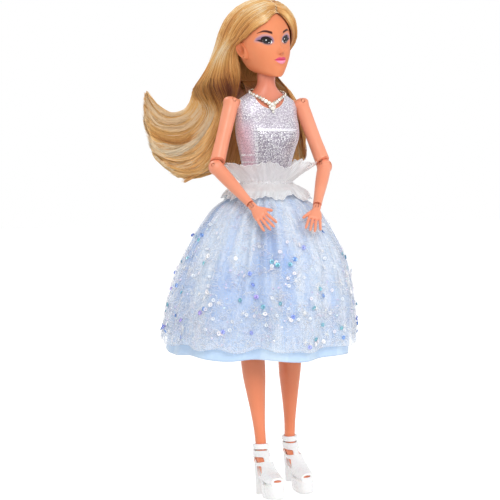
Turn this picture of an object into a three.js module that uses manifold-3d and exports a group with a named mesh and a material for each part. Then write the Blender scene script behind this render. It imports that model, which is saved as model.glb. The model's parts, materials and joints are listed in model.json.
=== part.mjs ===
// A posable fashion doll in a party dress: hollow torso, jointed arms and legs,
// rooted hair, lame bodice, organza ruffles, a two-layer skirt and platform shoes.
import * as THREE from 'three';
import { mergeVertices } from 'three/addons/utils/BufferGeometryUtils.js';
import Module from 'manifold-3d';

const wasm = await Module();
wasm.setup();

// Sizes are millimetres. Heights are measured from the line through the hip joints,
// the doll faces -Y and its own right hand lies towards -X.

// Fits
const fit = 0.3; // gap between pieces that touch
const seam = 0.2; // parting gap along the sides of the torso
const overrun = 1; // how far a cut reaches past the surface that it opens
const limbSides = 10; // facets round a limb
const pinSides = 8; // facets round a pin or a bore

// Torso
const torsoBottom = -15;
const torsoHeight = 106;
const torsoTop = torsoBottom + torsoHeight;
const upTorso = (share) => torsoBottom + share * torsoHeight;
const torsoHalfWidth = 20;
const torsoHalfDepth = 14;
const torsoWall = 1.8;
const torsoSides = 18;
const cavityBottom = upTorso(0.292); // above the solid pelvis
const cavityTop = upTorso(0.764); // below the solid shoulders
// height, half width, half depth and forward shift
const torsoRowShares = [
  [0, 0.3, 0.45, 0], [0.06, 0.78, 0.78, 0.05], [0.12, 0.96, 0.92, 0.1], [0.19, 1, 0.95, 0.1],
  [0.3, 0.82, 0.8, 0], [0.39, 0.69, 0.71, 0], [0.47, 0.74, 0.75, -0.02], [0.56, 0.85, 0.88, -0.1],
  [0.63, 0.945, 1, -0.17], [0.7, 0.96, 0.94, -0.11], [0.765, 0.93, 0.74, -0.02],
  [0.81, 0.92, 0.63, 0.02], [0.85, 0.82, 0.55, 0.05], [0.885, 0.6, 0.48, 0.06],
  [0.92, 0.33, 0.43, 0.04], [1, 0.28, 0.4, 0],
];

// Neck and head
const nodDrop = 6;
const nodHeight = torsoTop - nodDrop;
const barrelRadius = 2.6;
const barrelHalfLength = 3.6;
const neckSlotHalfDepth = 3.9;
const postRadius = 2.2;
const postLength = 15;
const postTop = nodHeight + postLength;
const capRadius = 4.2;
const capHeight = 3;
const headTurn = 20; // degrees towards the doll's left at rest
const chinOverlap = 2.5; // the chin hangs below the top of the neck
const chinHeight = torsoTop - chinOverlap;
const headHeight = 43.5;
const headHalfWidth = 16.5;
const headHalfDepth = 15.5;
const headSides = 20;
const neckRecessRadius = 7.3;
const neckRecessDepth = 5.1;
const neckRecessTop = chinHeight + neckRecessDepth;
// height, half width, half depth and forward shift
const headRowShares = [
  [0, 0.2, 0.2, -0.58], [0.035, 0.4, 0.46, -0.34], [0.1, 0.6, 0.74, -0.1], [0.19, 0.76, 0.9, 0.02],
  [0.25, 0.85, 0.95, 0.07], [0.31, 0.92, 0.98, 0.1], [0.37, 0.97, 1, 0.12],
  [0.43, 0.99, 1, 0.14], [0.49, 1, 1.01, 0.15], [0.56, 1, 1.03, 0.17], [0.64, 0.98, 1.04, 0.19],
  [0.73, 0.93, 1.01, 0.22], [0.81, 0.85, 0.93, 0.24], [0.885, 0.7, 0.78, 0.26],
  [0.95, 0.46, 0.52, 0.27], [0.985, 0.24, 0.28, 0.28],
];
const noseRise = 14.7;
const noseHeight = chinHeight + noseRise;
const noseReach = 2.9;
const noseHalfWidth = 1.9;
const noseHalfHeight = 3.2;
const bridgeReach = 0.9;
const bridgeRise = 21.5;
const bridgeHeight = chinHeight + bridgeRise;
const bridgeHalfHeight = 6.4;
const lipRise = 9.1;
const lipHeight = chinHeight + lipRise;
const lipReach = 0.7;
const lipHalfWidth = 3.4;
const lipHalfHeight = 1.5;
const eyeRise = 21.3;
const eyeHeight = chinHeight + eyeRise;
const eyeSpacing = 15.4;
const eyeDepth = 0.9;
const eyeHalfWidth = 3.6;
const eyeHalfHeight = 2.4;
const earRise = 15.7;
const earHeight = chinHeight + earRise;
const earBack = 3.5;
const earHalfWidth = 1.7;
const earHalfDepth = 3;
const earHalfHeight = 5.2;
const earSides = 8;

// Hair
const crownRise = 7.5;
const crownBottom = chinHeight + crownRise;
const crownHeight = 40;
const crownHalfWidth = 23;
const crownHalfDepth = 23;
const crownSides = 18;
const crownRowShares = [
  [0, 0.76, 0.81, 0.4], [0.15, 0.92, 0.91, 0.38], [0.3, 0.99, 0.98, 0.36], [0.45, 1, 1, 0.33],
  [0.6, 0.96, 0.98, 0.29], [0.75, 0.84, 0.87, 0.25], [0.875, 0.63, 0.66, 0.22],
  [0.96, 0.36, 0.38, 0.2], [0.99, 0.15, 0.16, 0.2],
];
const hairlineDepth = 4; // the hairline ends this far behind the head's axis
const partingShift = 1; // the parting lies this far to the doll's left
// outline of the bare face seen from the front, in half widths and heights of the head
const hairlineShares = [
  [0, 0.87], [0.35, 0.8], [0.72, 0.65], [1.12, 0.5], [1.6, 0.4], [1.6, -0.4], [-1.6, -0.4],
  [-1.6, 0.4], [-1.12, 0.5], [-0.72, 0.65], [-0.35, 0.8],
];
const hairReach = 68; // how far the blown tips lie from the neck's axis
const hairDepth = 35; // how far they lie behind the front of the torso
const hairRise = 16;
const hairTop = torsoTop + hairRise;
const lockHalfWidth = 10;
const lockThicknessShare = 0.45;
const lockSides = 6;
const lockSteps = 2; // rings between two places of a lock
const hairCut = crownBottom - fit; // the crown ends and the free lengths begin
// sideways, backwards and height places with the half width at each
const lockRouteShares = [
  [[-0.25, 0.57, 1, 0.75], [-0.33, 0.69, 0.86, 0.85], [-0.43, 0.76, 0.74, 0.9], [-0.58, 0.81, 0.65, 0.8],
    [-0.75, 0.86, 0.61, 0.6], [-0.9, 0.88, 0.65, 0.36], [-0.99, 0.88, 0.72, 0.08]],
  [[-0.18, 0.57, 1, 0.8], [-0.24, 0.72, 0.78, 0.95], [-0.36, 0.8, 0.63, 1], [-0.55, 0.87, 0.51, 0.86],
    [-0.74, 0.95, 0.45, 0.6], [-0.88, 0.99, 0.43, 0.3], [-0.97, 0.99, 0.44, 0.08]],
  [[-0.11, 0.58, 1, 0.8], [-0.14, 0.71, 0.72, 0.95], [-0.23, 0.77, 0.56, 0.95], [-0.375, 0.84, 0.41, 0.8],
    [-0.52, 0.88, 0.325, 0.6], [-0.65, 0.91, 0.27, 0.36], [-0.73, 0.91, 0.25, 0.08]],
  [[-0.05, 0.55, 1, 0.8], [-0.02, 0.66, 0.71, 0.85], [-0.04, 0.68, 0.56, 0.85], [-0.09, 0.66, 0.44, 0.65],
    [-0.14, 0.66, 0.34, 0.1]],
  [[0.03, 0.5, 1, 0.7], [0.14, 0.48, 0.83, 0.75], [0.24, 0.42, 0.72, 0.62], [0.32, 0.4, 0.6, 0.52],
    [0.365, 0.4, 0.46, 0.4], [0.39, 0.38, 0.34, 0.08]],
];

// Arms
const shoulderDrop = 17.5;
const shoulderHeight = torsoTop - shoulderDrop;
const shoulderSpacing = 45;
const shoulderBall = 5.6;
const shoulderStem = 1.5;
const shoulderFlange = 3;
const shoulderFlangeInset = 6;
const shoulderFlangeWidth = 2;
const upperArmLength = 42.5;
const upperArmRadius = 4.6;
const upperArmRowShares = [
  [0, 0.98, 1.1], [0.15, 1, 1.06], [0.35, 0.97, 1], [0.6, 0.94, 0.96], [0.8, 0.98, 1], [1.2, 1.02, 1.04],
];
const elbowBall = 4.7;
const elbowFrontRise = 5.4; // the upper arm ends this far above the elbow at the front
const elbowBackRise = 0.8; // and this far at the back
const forearmLength = 37;
const forearmRadius = 4;
const forearmRowShares = [
  [0, 0.95, 0.98], [0.12, 1.02, 1.06], [0.3, 1, 1.02], [0.5, 0.9, 0.92], [0.7, 0.78, 0.77],
  [0.88, 0.7, 0.66], [1.2, 0.66, 0.62],
];
const wristBall = 2.6;
const wristRise = 2.3;
const palmLength = 9.5;
const palmHalfWidth = 4.1;
const palmHalfDepth = 1.5;
const palmRowShares = [
  [0, 0.5, 1.25], [0.22, 0.6, 1.2], [0.5, 0.88, 1.12], [0.8, 1, 1], [1, 0.96, 0.85], [1.08, 0.6, 0.5],
];
const fingerLength = 11.5;
const fingerRadius = 0.92;
const fingerSpacing = 2.02;
const fingerSides = 5;
const fingerLengthShares = [0.92, 1.02, 1, 0.8];
const fingerSplayShares = [-0.1, -0.02, 0.05, 0.2];
const thumbLength = 9;
const thumbRadius = 1.05;
const thumbOut = 34; // degrees away from the palm
const thumbRootShare = 0.4;
const fingerRootShare = 0.9;
const fingerRowShares = [[0, 1, 1], [0.75, 0.9, 0.9], [1, 0.45, 0.45]];

// Pegs and pins inside the joints
const elbowPeg = { stem: 1.5, stemLength: 8, tongue: 2.5, width: 2.4, pin: 0.9 };
const wristPeg = { stem: 0.9, stemLength: 6, tongue: 1.45, width: 1.3, pin: 0.45 };
const shoulderPeg = { tongue: 2.7, width: 3, pin: 1 };
const hipPeg = { tongue: 4, width: 4.4, pin: 1.3 };
const kneePeg = { tongue: 4, width: 3.6, pin: 1.2 };

const tongueRootShare = 1.3; // the tongue's flat root reaches this many of its radii

// Legs
const hipSpacing = 26;
const hipBall = 8;
const hipStem = 2.2;
const hipFlange = 4;
const hipFlangeWidth = 2;
const hipFlangeInset = 0.5;
const legOpeningInset = 3.4; // the wall between the legs is twice this thick
const legOpeningRise = 4; // the opening rises this much from the hip to the torso's skin
const thighLength = 68;
const thighRadius = 8.8;
const thighRowShares = [
  [0.04, 0.8, 0.82, 0], [0.1, 0.93, 0.95, 0], [0.2, 1, 1, 0], [0.4, 0.97, 0.97, 0], [0.6, 0.88, 0.9, 0],
  [0.8, 0.78, 0.82, 0], [1, 0.74, 0.8, 0],
];
const kneeBall = 7;
const kneeRise = 0.8;
const kneeBackRise = 7.6;
const shinLength = 68;
const calfRadius = 7.3;
const shinRowShares = [
  [0, 0.92, 0.94, 0], [0.12, 0.95, 0.96, 0.03], [0.26, 1, 1.04, 0.1], [0.4, 0.94, 1, 0.12],
  [0.55, 0.78, 0.84, 0.08], [0.7, 0.62, 0.66, 0.03], [0.85, 0.49, 0.52, 0], [1, 0.44, 0.47, 0],
];
const shinInset = 4; // the ankle lies this far inwards of the knee

// Feet and shoes
const footLength = 25;
const footDrop = 21;
const footHalfWidth = 4.4;
const footSides = 8;
// forwards and downwards places, half width and half depth across the path
const footRouteShares = [
  [0, -0.1, 0.74, 0.78], [0, 0.1, 0.73, 0.8], [0.03, 0.28, 0.76, 1], [0.16, 0.52, 0.84, 1.1],
  [0.42, 0.78, 0.93, 0.82], [0.68, 0.92, 1, 0.55], [0.88, 0.97, 0.93, 0.42], [1, 0.99, 0.62, 0.3],
];
const heelBall = 3.7;
const heelBack = 2.6;
const heelDrop = 10;
const shoeFit = 0.25;
const shoeWall = 1.1;
const soleDrop = 31; // from the ankle strap's top edge to the ground
const platformThickness = 8;
const platformFront = 27.5;
const platformBack = 8.5;
const platformHalfWidth = 5.7;
const platformSides = 12;
const platformSquareness = 0.75; // 1 is an ellipse, less is squarer
const platformRowShares = [[0, 0.92], [0.17, 1], [1, 0.96]]; // height and spread
const shankHalfWidth = 3.5;
const shankThickness = 1.8;
const shankLandingShare = 0.7; // of the platform's height
const heelTopHalfWidth = 3.4;
const heelFootHalfWidth = 2.2;
const heelFootBack = 5.5;
const heelTopDrop = 11;
const heelBendShare = 0.5; // the heel runs straight down from this share of its height
const strapHeight = 3.2;
const strapSlit = 0.7;
const strapOuter = 5;
const strapSpacing = 4.2;
const windowHalfGap = 1.6; // half the strip between the windows of the two cheeks
const upperWindowHeight = 2.5;
const windowSpacing = 2.3; // the strap between the upper and the lower windows
const lowerWindowRise = 5.8; // above the platform
const toeSlitHalfWidth = 2.6;
const toeSlitHeight = 1.4;
const toeSlitRise = 3.2; // its top above the platform

// Pose of the doll at rest, in degrees
const pose = {
  right: { side: -1, swing: 10, spread: 17, twist: 45, bend: 54, wristTurn: -83, wristBend: 0,
    hipSwing: 9, hipSpread: 1, knee: 0 },
  left: { side: 1, swing: 12, spread: 18, twist: 53, bend: 52, wristTurn: 45, wristBend: 0,
    hipSwing: 0, hipSpread: 3, knee: 0 },
};

// Dress
const clothFit = 0.35;
const bodiceThickness = 0.7;
const bodiceBottom = upTorso(0.415);
const bandSides = 20;
const armholeRadius = 7.1;
const armholeDrop = 1;
const necklineDrop = 11.8;
const neckline = { halfWidth: 10.7, depth: 11.3, height: torsoTop - necklineDrop, sides: 16 };
const backNeckDrop = 5;
const closureWidth = 5;
const closureLength = torsoHeight * 0.302;
const closureThickness = 0.6;
const bandHeight = upTorso(0.368);
const bandWidth = 4;
const bandThickness = 0.8;
const ruffleSides = 32;
const ruffleThickness = 0.5;
const ruffleReach = 13.5;
const upperRuffleRise = 11;
const lowerRuffleDrop = 7.5;
const ruffleWaves = 8;
const ruffleWave = 1.4;
const ruffleUnevenWaves = 5; // a second, weaker wave makes the frills uneven
const ruffleUnevenShare = 0.4;
// height and outward places from the band to the edge
const upperRuffleRowShares = [[0.1, 0], [0.55, 0.5], [1, 0.95]];
const lowerRuffleRowShares = [[0.1, 0], [0.5, 0.45], [1, 0.85]];
const skirtSides = 40;
const skirtInset = 5; // below the middle of the waist band
const skirtTop = bandHeight - skirtInset;
const skirtLength = 98;
const skirtReach = 57.5;
const skirtDepthShare = 0.92;
const skirtSway = 3.5; // the hem hangs this far towards the doll's right
const liningThickness = 0.6;
const overskirtThickness = 0.6;
const overskirtLift = 1.8; // from the lining to the overskirt
const overskirtShort = 6; // the overskirt ends this far above the lining's hem
const skirtFoldDepth = 2.4;
// waves round the skirt, their shares of the fold depth and their turns in degrees
const skirtFoldWaveShares = [[7, 1, 20], [5, 0.6, 100], [9, 0.6, 200], [3, 0.35, 300]];
// height down from the top and distance from the axis
const skirtRowShares = [
  [0, 0.285], [0.035, 0.36], [0.09, 0.48], [0.2, 0.62], [0.38, 0.79], [0.64, 0.94], [1, 1],
];

// Necklace
const cordRadius = 0.5;
const necklaceBeads = 20;
const beadRadius = 1;
const beadSides = 5;
const necklaceInset = 9.5;
const necklaceHeight = torsoTop - necklaceInset;
const necklaceDrop = 9;
const necklaceMargin = 2.5; // from the skin to the middle of the beads
const pendantRadius = 1.5;
const pendantSides = 8;
const pendantDrop = 3;

const materials = {
  skin: new THREE.MeshStandardMaterial({ color: 0xe9936c, roughness: 0.5, metalness: 0 }),
  hair: new THREE.MeshStandardMaterial({ color: 0xd9b088, roughness: 0.4, metalness: 0 }),
  lame: new THREE.MeshStandardMaterial({ color: 0xcfc6d2, roughness: 0.35, metalness: 0.5 }),
  organza: new THREE.MeshStandardMaterial({ color: 0xe9e9ee, roughness: 0.6, metalness: 0 }),
  satin: new THREE.MeshStandardMaterial({ color: 0xbcd6ee, roughness: 0.4, metalness: 0 }),
  tulle: new THREE.MeshStandardMaterial({ color: 0xc9d6ee, roughness: 0.7, metalness: 0 }),
  shoe: new THREE.MeshStandardMaterial({ color: 0xededee, roughness: 0.3, metalness: 0 }),
  crystal: new THREE.MeshStandardMaterial({ color: 0xd8d6cf, roughness: 0.15, metalness: 0.6 }),
  peg: new THREE.MeshStandardMaterial({ color: 0xe3ae8c, roughness: 0.5, metalness: 0 }),
};

// Solids

const vec = (x, y, z) => new THREE.Vector3(x, y, z);

function solid(geometry) {
  const bare = geometry.clone();
  bare.deleteAttribute('normal');
  bare.deleteAttribute('uv');
  const merged = mergeVertices(bare, 1e-5);
  return new wasm.Manifold(new wasm.Mesh({
    numProp: 3,
    vertProperties: new Float32Array(merged.attributes.position.array),
    triVerts: new Uint32Array(merged.index.array),
  }));
}

function geometryOf(body) {
  const data = body.getMesh();
  const geometry = new THREE.BufferGeometry();
  geometry.setAttribute('position', new THREE.BufferAttribute(new Float32Array(data.vertProperties), 3));
  geometry.setIndex(new THREE.BufferAttribute(new Uint32Array(data.triVerts), 1));
  geometry.computeVertexNormals();
  return geometry;
}

function piece(parent, name, body, material) {
  const mesh = new THREE.Mesh(geometryOf(body), material);
  mesh.name = name;
  parent.add(mesh);
  return mesh;
}

function union(bodies) {
  return bodies.reduce((whole, body) => whole.add(body));
}

function moved(body, x, y, z) {
  return body.translate([x, y, z]);
}

// Triangles turned so that the closed skin faces outwards.
function faced(points, index) {
  let volume = 0;
  const cross = new THREE.Vector3();
  for (let i = 0; i < index.length; i += 3) {
    cross.crossVectors(points[index[i + 1]], points[index[i + 2]]);
    volume += points[index[i]].dot(cross);
  }
  if (volume < 0) index.reverse();
  const geometry = new THREE.BufferGeometry();
  geometry.setFromPoints(points);
  geometry.setIndex(index);
  return solid(geometry);
}

// Rings of points joined into a closed skin with a fan at each end.
function skinned(rings) {
  const sides = rings[0].length;
  const points = rings.flat();
  const index = [];
  for (let row = 0; row + 1 < rings.length; row += 1) {
    for (let side = 0; side < sides; side += 1) {
      const next = (side + 1) % sides;
      const a = row * sides + side;
      const b = row * sides + next;
      index.push(a, b, b + sides, a, b + sides, a + sides);
    }
  }
  for (const [row, turned] of [[0, true], [rings.length - 1, false]]) {
    const middle = new THREE.Vector3();
    for (const point of rings[row]) middle.addScaledVector(point, 1 / sides);
    const hub = points.push(middle) - 1;
    for (let side = 0; side < sides; side += 1) {
      const a = row * sides + side;
      const b = row * sides + (side + 1) % sides;
      if (turned) index.push(hub, b, a);
      else index.push(hub, a, b);
    }
  }
  return faced(points, index);
}

function ellipse(sides, x, y, z, halfWidth, halfDepth) {
  return Array.from({ length: sides }, (_, side) => {
    const turn = (side / sides) * 2 * Math.PI;
    return new THREE.Vector3(x + halfWidth * Math.cos(turn), y + halfDepth * Math.sin(turn), z);
  });
}

// Rows of height, half width and half depth shares, with an optional shift in depth,
// stacked along Z and grown outwards by a margin.
function stacked(rows, sides, bottom, height, halfWidth, halfDepth, margin = 0) {
  return skinned(rows.map(([rise, wide, deep, shift = 0]) => ellipse(
    sides, 0, shift * halfDepth, bottom + rise * height,
    wide * halfWidth + margin, deep * halfDepth + margin)));
}

function ball(radius, x = 0, y = 0, z = 0, sides = limbSides) {
  const geometry = new THREE.SphereGeometry(radius, sides, sides / 2);
  return moved(solid(geometry), x, y, z);
}

function rod(radius, from, to, sides = pinSides) {
  const span = new THREE.Vector3().subVectors(to, from);
  const geometry = new THREE.CylinderGeometry(radius, radius, span.length(), sides);
  geometry.translate(0, span.length() / 2, 0);
  const turn = new THREE.Quaternion().setFromUnitVectors(new THREE.Vector3(0, 1, 0), span.normalize());
  geometry.applyQuaternion(turn);
  geometry.translate(from.x, from.y, from.z);
  return solid(geometry);
}

// A bore whose flats clear a round pin of this radius.
function bore(radius, from, to, sides = pinSides) {
  return rod((radius + fit) / Math.cos(Math.PI / sides), from, to, sides);
}

// A hollow whose flats clear a ball of this radius.
function socket(radius, x = 0, y = 0, z = 0, sides = limbSides) {
  return ball((radius + fit) / Math.cos(Math.PI / sides) ** 2, x, y, z, sides);
}

function block(x0, x1, y0, y1, z0, z1) {
  const geometry = new THREE.BoxGeometry(Math.abs(x1 - x0), Math.abs(y1 - y0), Math.abs(z1 - z0));
  geometry.translate((x0 + x1) / 2, (y0 + y1) / 2, (z0 + z1) / 2);
  return solid(geometry);
}

// A flat tongue with a round end about the origin, reaching along `reach` to its root.
function tongue(peg, reach) {
  const half = peg.width / 2;
  const eye = rod(peg.tongue, vec(-half, 0, 0), vec(half, 0, 0));
  const arm = block(-half, half, -peg.tongue, peg.tongue, 0, reach);
  const edge = half + overrun;
  return eye.add(arm).subtract(bore(peg.pin, vec(-edge, 0, 0), vec(edge, 0, 0)));
}

function pinAcross(peg, radius) {
  const half = Math.sqrt(radius ** 2 - peg.pin ** 2) - fit;
  return rod(peg.pin, vec(-half, 0, 0), vec(half, 0, 0));
}

function pinBore(peg, radius) {
  const half = radius + overrun;
  return bore(peg.pin, vec(-half, 0, 0), vec(half, 0, 0));
}

// The slot in a ball that lets a tongue swing from straight up towards +Y or -Y.
function tongueSlot(peg, radius, front) {
  const half = peg.width / 2 + fit;
  const far = radius + overrun;
  const inner = peg.tongue + fit;
  const eye = bore(peg.tongue, vec(-half, 0, 0), vec(half, 0, 0));
  const swept = block(-half, half, -inner * front, far * front, -inner, far);
  return eye.add(swept);
}

const turned = (degrees) => THREE.MathUtils.degToRad(degrees);

// A group that turns about one axis through its own place.
function pivot(parent, name, place, axis, degrees) {
  const group = new THREE.Group();
  group.name = name;
  group.position.copy(place);
  group.setRotationFromAxisAngle(axis, turned(degrees));
  group.userData = { axis: axis.toArray(), rest: degrees };
  parent.add(group);
  return group;
}

const across = vec(1, 0, 0);
const forward = vec(-1, 0, 0);
const along = vec(0, 1, 0);
const upright = vec(0, 0, 1);

const doll = new THREE.Group();
doll.name = 'doll';

// Torso: two moulded halves that clamp the pegs of the neck, arms and legs

function torsoSolid(margin) {
  return stacked(torsoRowShares, torsoSides, torsoBottom, torsoHeight, torsoHalfWidth, torsoHalfDepth, margin);
}

function shoulderCentre(side) {
  return vec(side * shoulderSpacing / 2, 0, shoulderHeight);
}

function hipCentre(side) {
  return vec(side * hipSpacing / 2, 0, 0);
}

// The wedge in which a leg swings forwards and backwards.
function legOpening(side) {
  const reach = torsoHalfWidth;
  const outline = [
    [0, 0], [-reach, legOpeningRise], [-reach, torsoBottom - overrun],
    [reach, torsoBottom - overrun], [reach, legOpeningRise],
  ];
  const ring = (x) => outline.map(([y, z]) => vec(x, y, z));
  return skinned([ring(side * legOpeningInset), ring(side * torsoHalfWidth * 2)]);
}

function makeTorso() {
  const outer = torsoSolid(0);
  const far = torsoHalfWidth * 2;
  const hollow = torsoSolid(-torsoWall).intersect(block(-far, far, -far, far, cavityBottom, cavityTop));
  let body = outer.subtract(hollow);
  const [rightShoulder, leftShoulder] = [shoulderCentre(-1), shoulderCentre(1)];
  body = body.subtract(bore(shoulderStem, rightShoulder, leftShoulder));
  const [rightHip, leftHip] = [hipCentre(-1), hipCentre(1)];
  body = body.subtract(bore(hipStem, rightHip, leftHip));
  const flangeEnd = hipFlangeInset + hipFlangeWidth + fit;
  body = body.subtract(bore(hipFlange, vec(-flangeEnd, 0, 0), vec(flangeEnd, 0, 0)));
  for (const side of [-1, 1]) {
    const shoulder = shoulderCentre(side);
    body = body.subtract(socket(shoulderBall, shoulder.x, shoulder.y, shoulder.z));
    body = body.subtract(bore(
      shoulderFlange,
      vec(side * (shoulderFlangeInset - fit), 0, shoulderHeight),
      vec(side * (shoulderFlangeInset + shoulderFlangeWidth + fit), 0, shoulderHeight)));
    const hip = hipCentre(side);
    body = body.subtract(socket(hipBall, hip.x, hip.y, hip.z));
    body = body.subtract(legOpening(side));
  }
  const barrelEnd = barrelHalfLength + fit;
  body = body.subtract(bore(barrelRadius, vec(-barrelEnd, 0, nodHeight), vec(barrelEnd, 0, nodHeight)));
  const slot = postRadius + fit;
  body = body.subtract(block(
    -slot, slot, -neckSlotHalfDepth, neckSlotHalfDepth, nodHeight, torsoTop + overrun));
  const top = torsoTop + overrun;
  const front = body.intersect(block(-far, far, -far, -seam / 2, torsoBottom - overrun, top));
  const back = body.intersect(block(-far, far, seam / 2, far, torsoBottom - overrun, top));
  piece(doll, 'torso_front', front, materials.skin);
  piece(doll, 'torso_back', back, materials.skin);
}

makeTorso();

// Neck knob and head

const nod = pivot(doll, 'neck_nod', vec(0, 0, nodHeight), across, 0);
const turn = pivot(nod, 'head_turn', vec(0, 0, 0), upright, headTurn);
const headFrame = new THREE.Group();
headFrame.position.set(0, 0, -nodHeight);
turn.add(headFrame);

function makeNeckKnob() {
  const barrel = rod(barrelRadius, vec(-barrelHalfLength, 0, 0), vec(barrelHalfLength, 0, 0));
  const post = rod(postRadius, vec(0, 0, 0), vec(0, 0, postTop - nodHeight));
  const cap = rod(capRadius, vec(0, 0, postTop - capHeight - nodHeight), vec(0, 0, postTop - nodHeight));
  piece(nod, 'neck_knob', union([barrel, post, cap]), materials.peg);
}

function bump(x, z, height, halfWidth, halfHeight, reach) {
  return reach * Math.exp(-((x / halfWidth) ** 2) - (((z - height) / halfHeight) ** 2));
}

// How far the face stands out at a place seen from the front.
function faceReach(x, z) {
  const nose = bump(x, z, noseHeight, noseHalfWidth, noseHalfHeight, noseReach);
  const bridge = bump(x, z, bridgeHeight, noseHalfWidth, bridgeHalfHeight, bridgeReach);
  const lips = bump(x, z, lipHeight, lipHalfWidth, lipHalfHeight, lipReach);
  const eyes = bump(Math.abs(x) - eyeSpacing / 2, z, eyeHeight, eyeHalfWidth, eyeHalfHeight, eyeDepth);
  return nose + bridge + lips - eyes;
}

function headSolid(margin) {
  const rings = headRowShares.map(([rise, wide, deep, shift]) => {
    const z = chinHeight + rise * headHeight;
    const ring = ellipse(
      headSides, 0, shift * headHalfDepth, z, wide * headHalfWidth + margin, deep * headHalfDepth + margin);
    for (const point of ring) {
      if (point.y < 0) point.y -= faceReach(point.x, z);
    }
    return ring;
  });
  rings[0].forEach((point) => { point.z -= margin; });
  rings[rings.length - 1].forEach((point) => { point.z += margin; });
  return skinned(rings);
}

function earSolid(side, margin) {
  const ear = new THREE.SphereGeometry(1, earSides, earSides);
  ear.scale(earHalfWidth + margin, earHalfDepth + margin, earHalfHeight + margin);
  ear.translate(side * headHalfWidth, earBack, earHeight);
  return solid(ear);
}

function makeHead() {
  let head = headSolid(0);
  for (const side of [-1, 1]) {
    head = head.add(earSolid(side, 0));
  }
  head = head.subtract(rod(neckRecessRadius, vec(0, 0, chinHeight - overrun), vec(0, 0, neckRecessTop), limbSides));
  head = head.subtract(bore(postRadius, vec(0, 0, chinHeight), vec(0, 0, postTop - capHeight)));
  head = head.subtract(bore(capRadius, vec(0, 0, postTop - capHeight - fit), vec(0, 0, postTop + fit)));
  piece(headFrame, 'head', head, materials.skin);
}

function makeHairCrown() {
  let crown = stacked(crownRowShares, crownSides, crownBottom, crownHeight, crownHalfWidth, crownHalfDepth);
  crown = crown.subtract(headSolid(fit));
  const outline = hairlineShares.map(([x, z]) => new THREE.Vector2(
    x * headHalfWidth + partingShift, chinHeight + z * headHeight));
  const face = new THREE.ExtrudeGeometry(new THREE.Shape(outline), {
    depth: crownHalfDepth * 2, bevelEnabled: false,
  });
  face.rotateX(Math.PI / 2);
  face.translate(0, hairlineDepth, 0);
  crown = crown.subtract(solid(face));
  for (const side of [-1, 1]) {
    crown = crown.subtract(earSolid(side, fit * 2));
  }
  piece(headFrame, 'hair_crown', crown, materials.hair);
}

function lock(route) {
  const places = route.map(([x, y, z]) => vec(x * hairReach, y * hairDepth, z * hairTop));
  const curve = new THREE.CatmullRomCurve3(places, false, 'centripetal');
  const steps = (route.length - 1) * lockSteps;
  const rings = [];
  for (let step = 0; step <= steps; step += 1) {
    const share = step / steps;
    const centre = curve.getPoint(share);
    const heading = curve.getTangent(share);
    const place = share * (route.length - 1);
    const low = Math.min(Math.floor(place), route.length - 2);
    const half = lockHalfWidth * THREE.MathUtils.lerp(route[low][3], route[low + 1][3], place - low);
    const flat = vec(0, 1, 0).addScaledVector(heading, -heading.y).normalize();
    const wide = vec(0, 0, 0).crossVectors(heading, flat).normalize();
    rings.push(Array.from({ length: lockSides }, (_, side) => {
      const angle = (side / lockSides) * 2 * Math.PI;
      return centre.clone()
        .addScaledVector(wide, half * Math.cos(angle))
        .addScaledVector(flat, half * lockThicknessShare * Math.sin(angle));
    }));
  }
  return skinned(rings);
}

function makeHairLengths() {
  const far = hairReach * 2;
  let lengths = union(lockRouteShares.map(lock));
  lengths = lengths.intersect(block(-far, far, -far, far, 0, hairCut));
  lengths = lengths.subtract(torsoSolid(clothFit * 2 + bodiceThickness + closureThickness + fit));
  const grown = headSolid(fit).rotate([0, 0, headTurn]);
  lengths = lengths.subtract(grown);
  for (const side of [-1, 1]) {
    const place = shoulderCentre(side);
    lengths = lengths.subtract(ball(shoulderBall + fit * 2, place.x, place.y, place.z));
  }
  piece(doll, 'hair_lengths', lengths, materials.hair);
}

makeNeckKnob();
makeHead();
makeHairCrown();
makeHairLengths();

// Arms

function limb(rows, length, radius, sides = limbSides) {
  return skinned(rows.map(([down, wide, deep, shift = 0]) => ellipse(
    sides, 0, shift * radius, -down * length, wide * radius, deep * radius)));
}

function makeShoulderPeg(group, name, side) {
  const reach = shoulderSpacing / 2;
  const flange = rod(
    shoulderFlange,
    vec(side * (shoulderFlangeInset - reach), 0, 0),
    vec(side * (shoulderFlangeInset + shoulderFlangeWidth - reach), 0, 0));
  const half = shoulderPeg.width / 2;
  const stemEnd = side * -shoulderPeg.tongue;
  const stem = rod(shoulderStem, vec(side * (shoulderFlangeInset - reach), 0, 0), vec(stemEnd / 2, 0, 0));
  const eye = rod(shoulderPeg.tongue, vec(0, -half, 0), vec(0, half, 0));
  const hole = bore(shoulderPeg.pin, vec(0, -half - overrun, 0), vec(0, half + overrun, 0));
  piece(group, name, union([flange, stem, eye]).subtract(hole), materials.peg);
}

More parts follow.
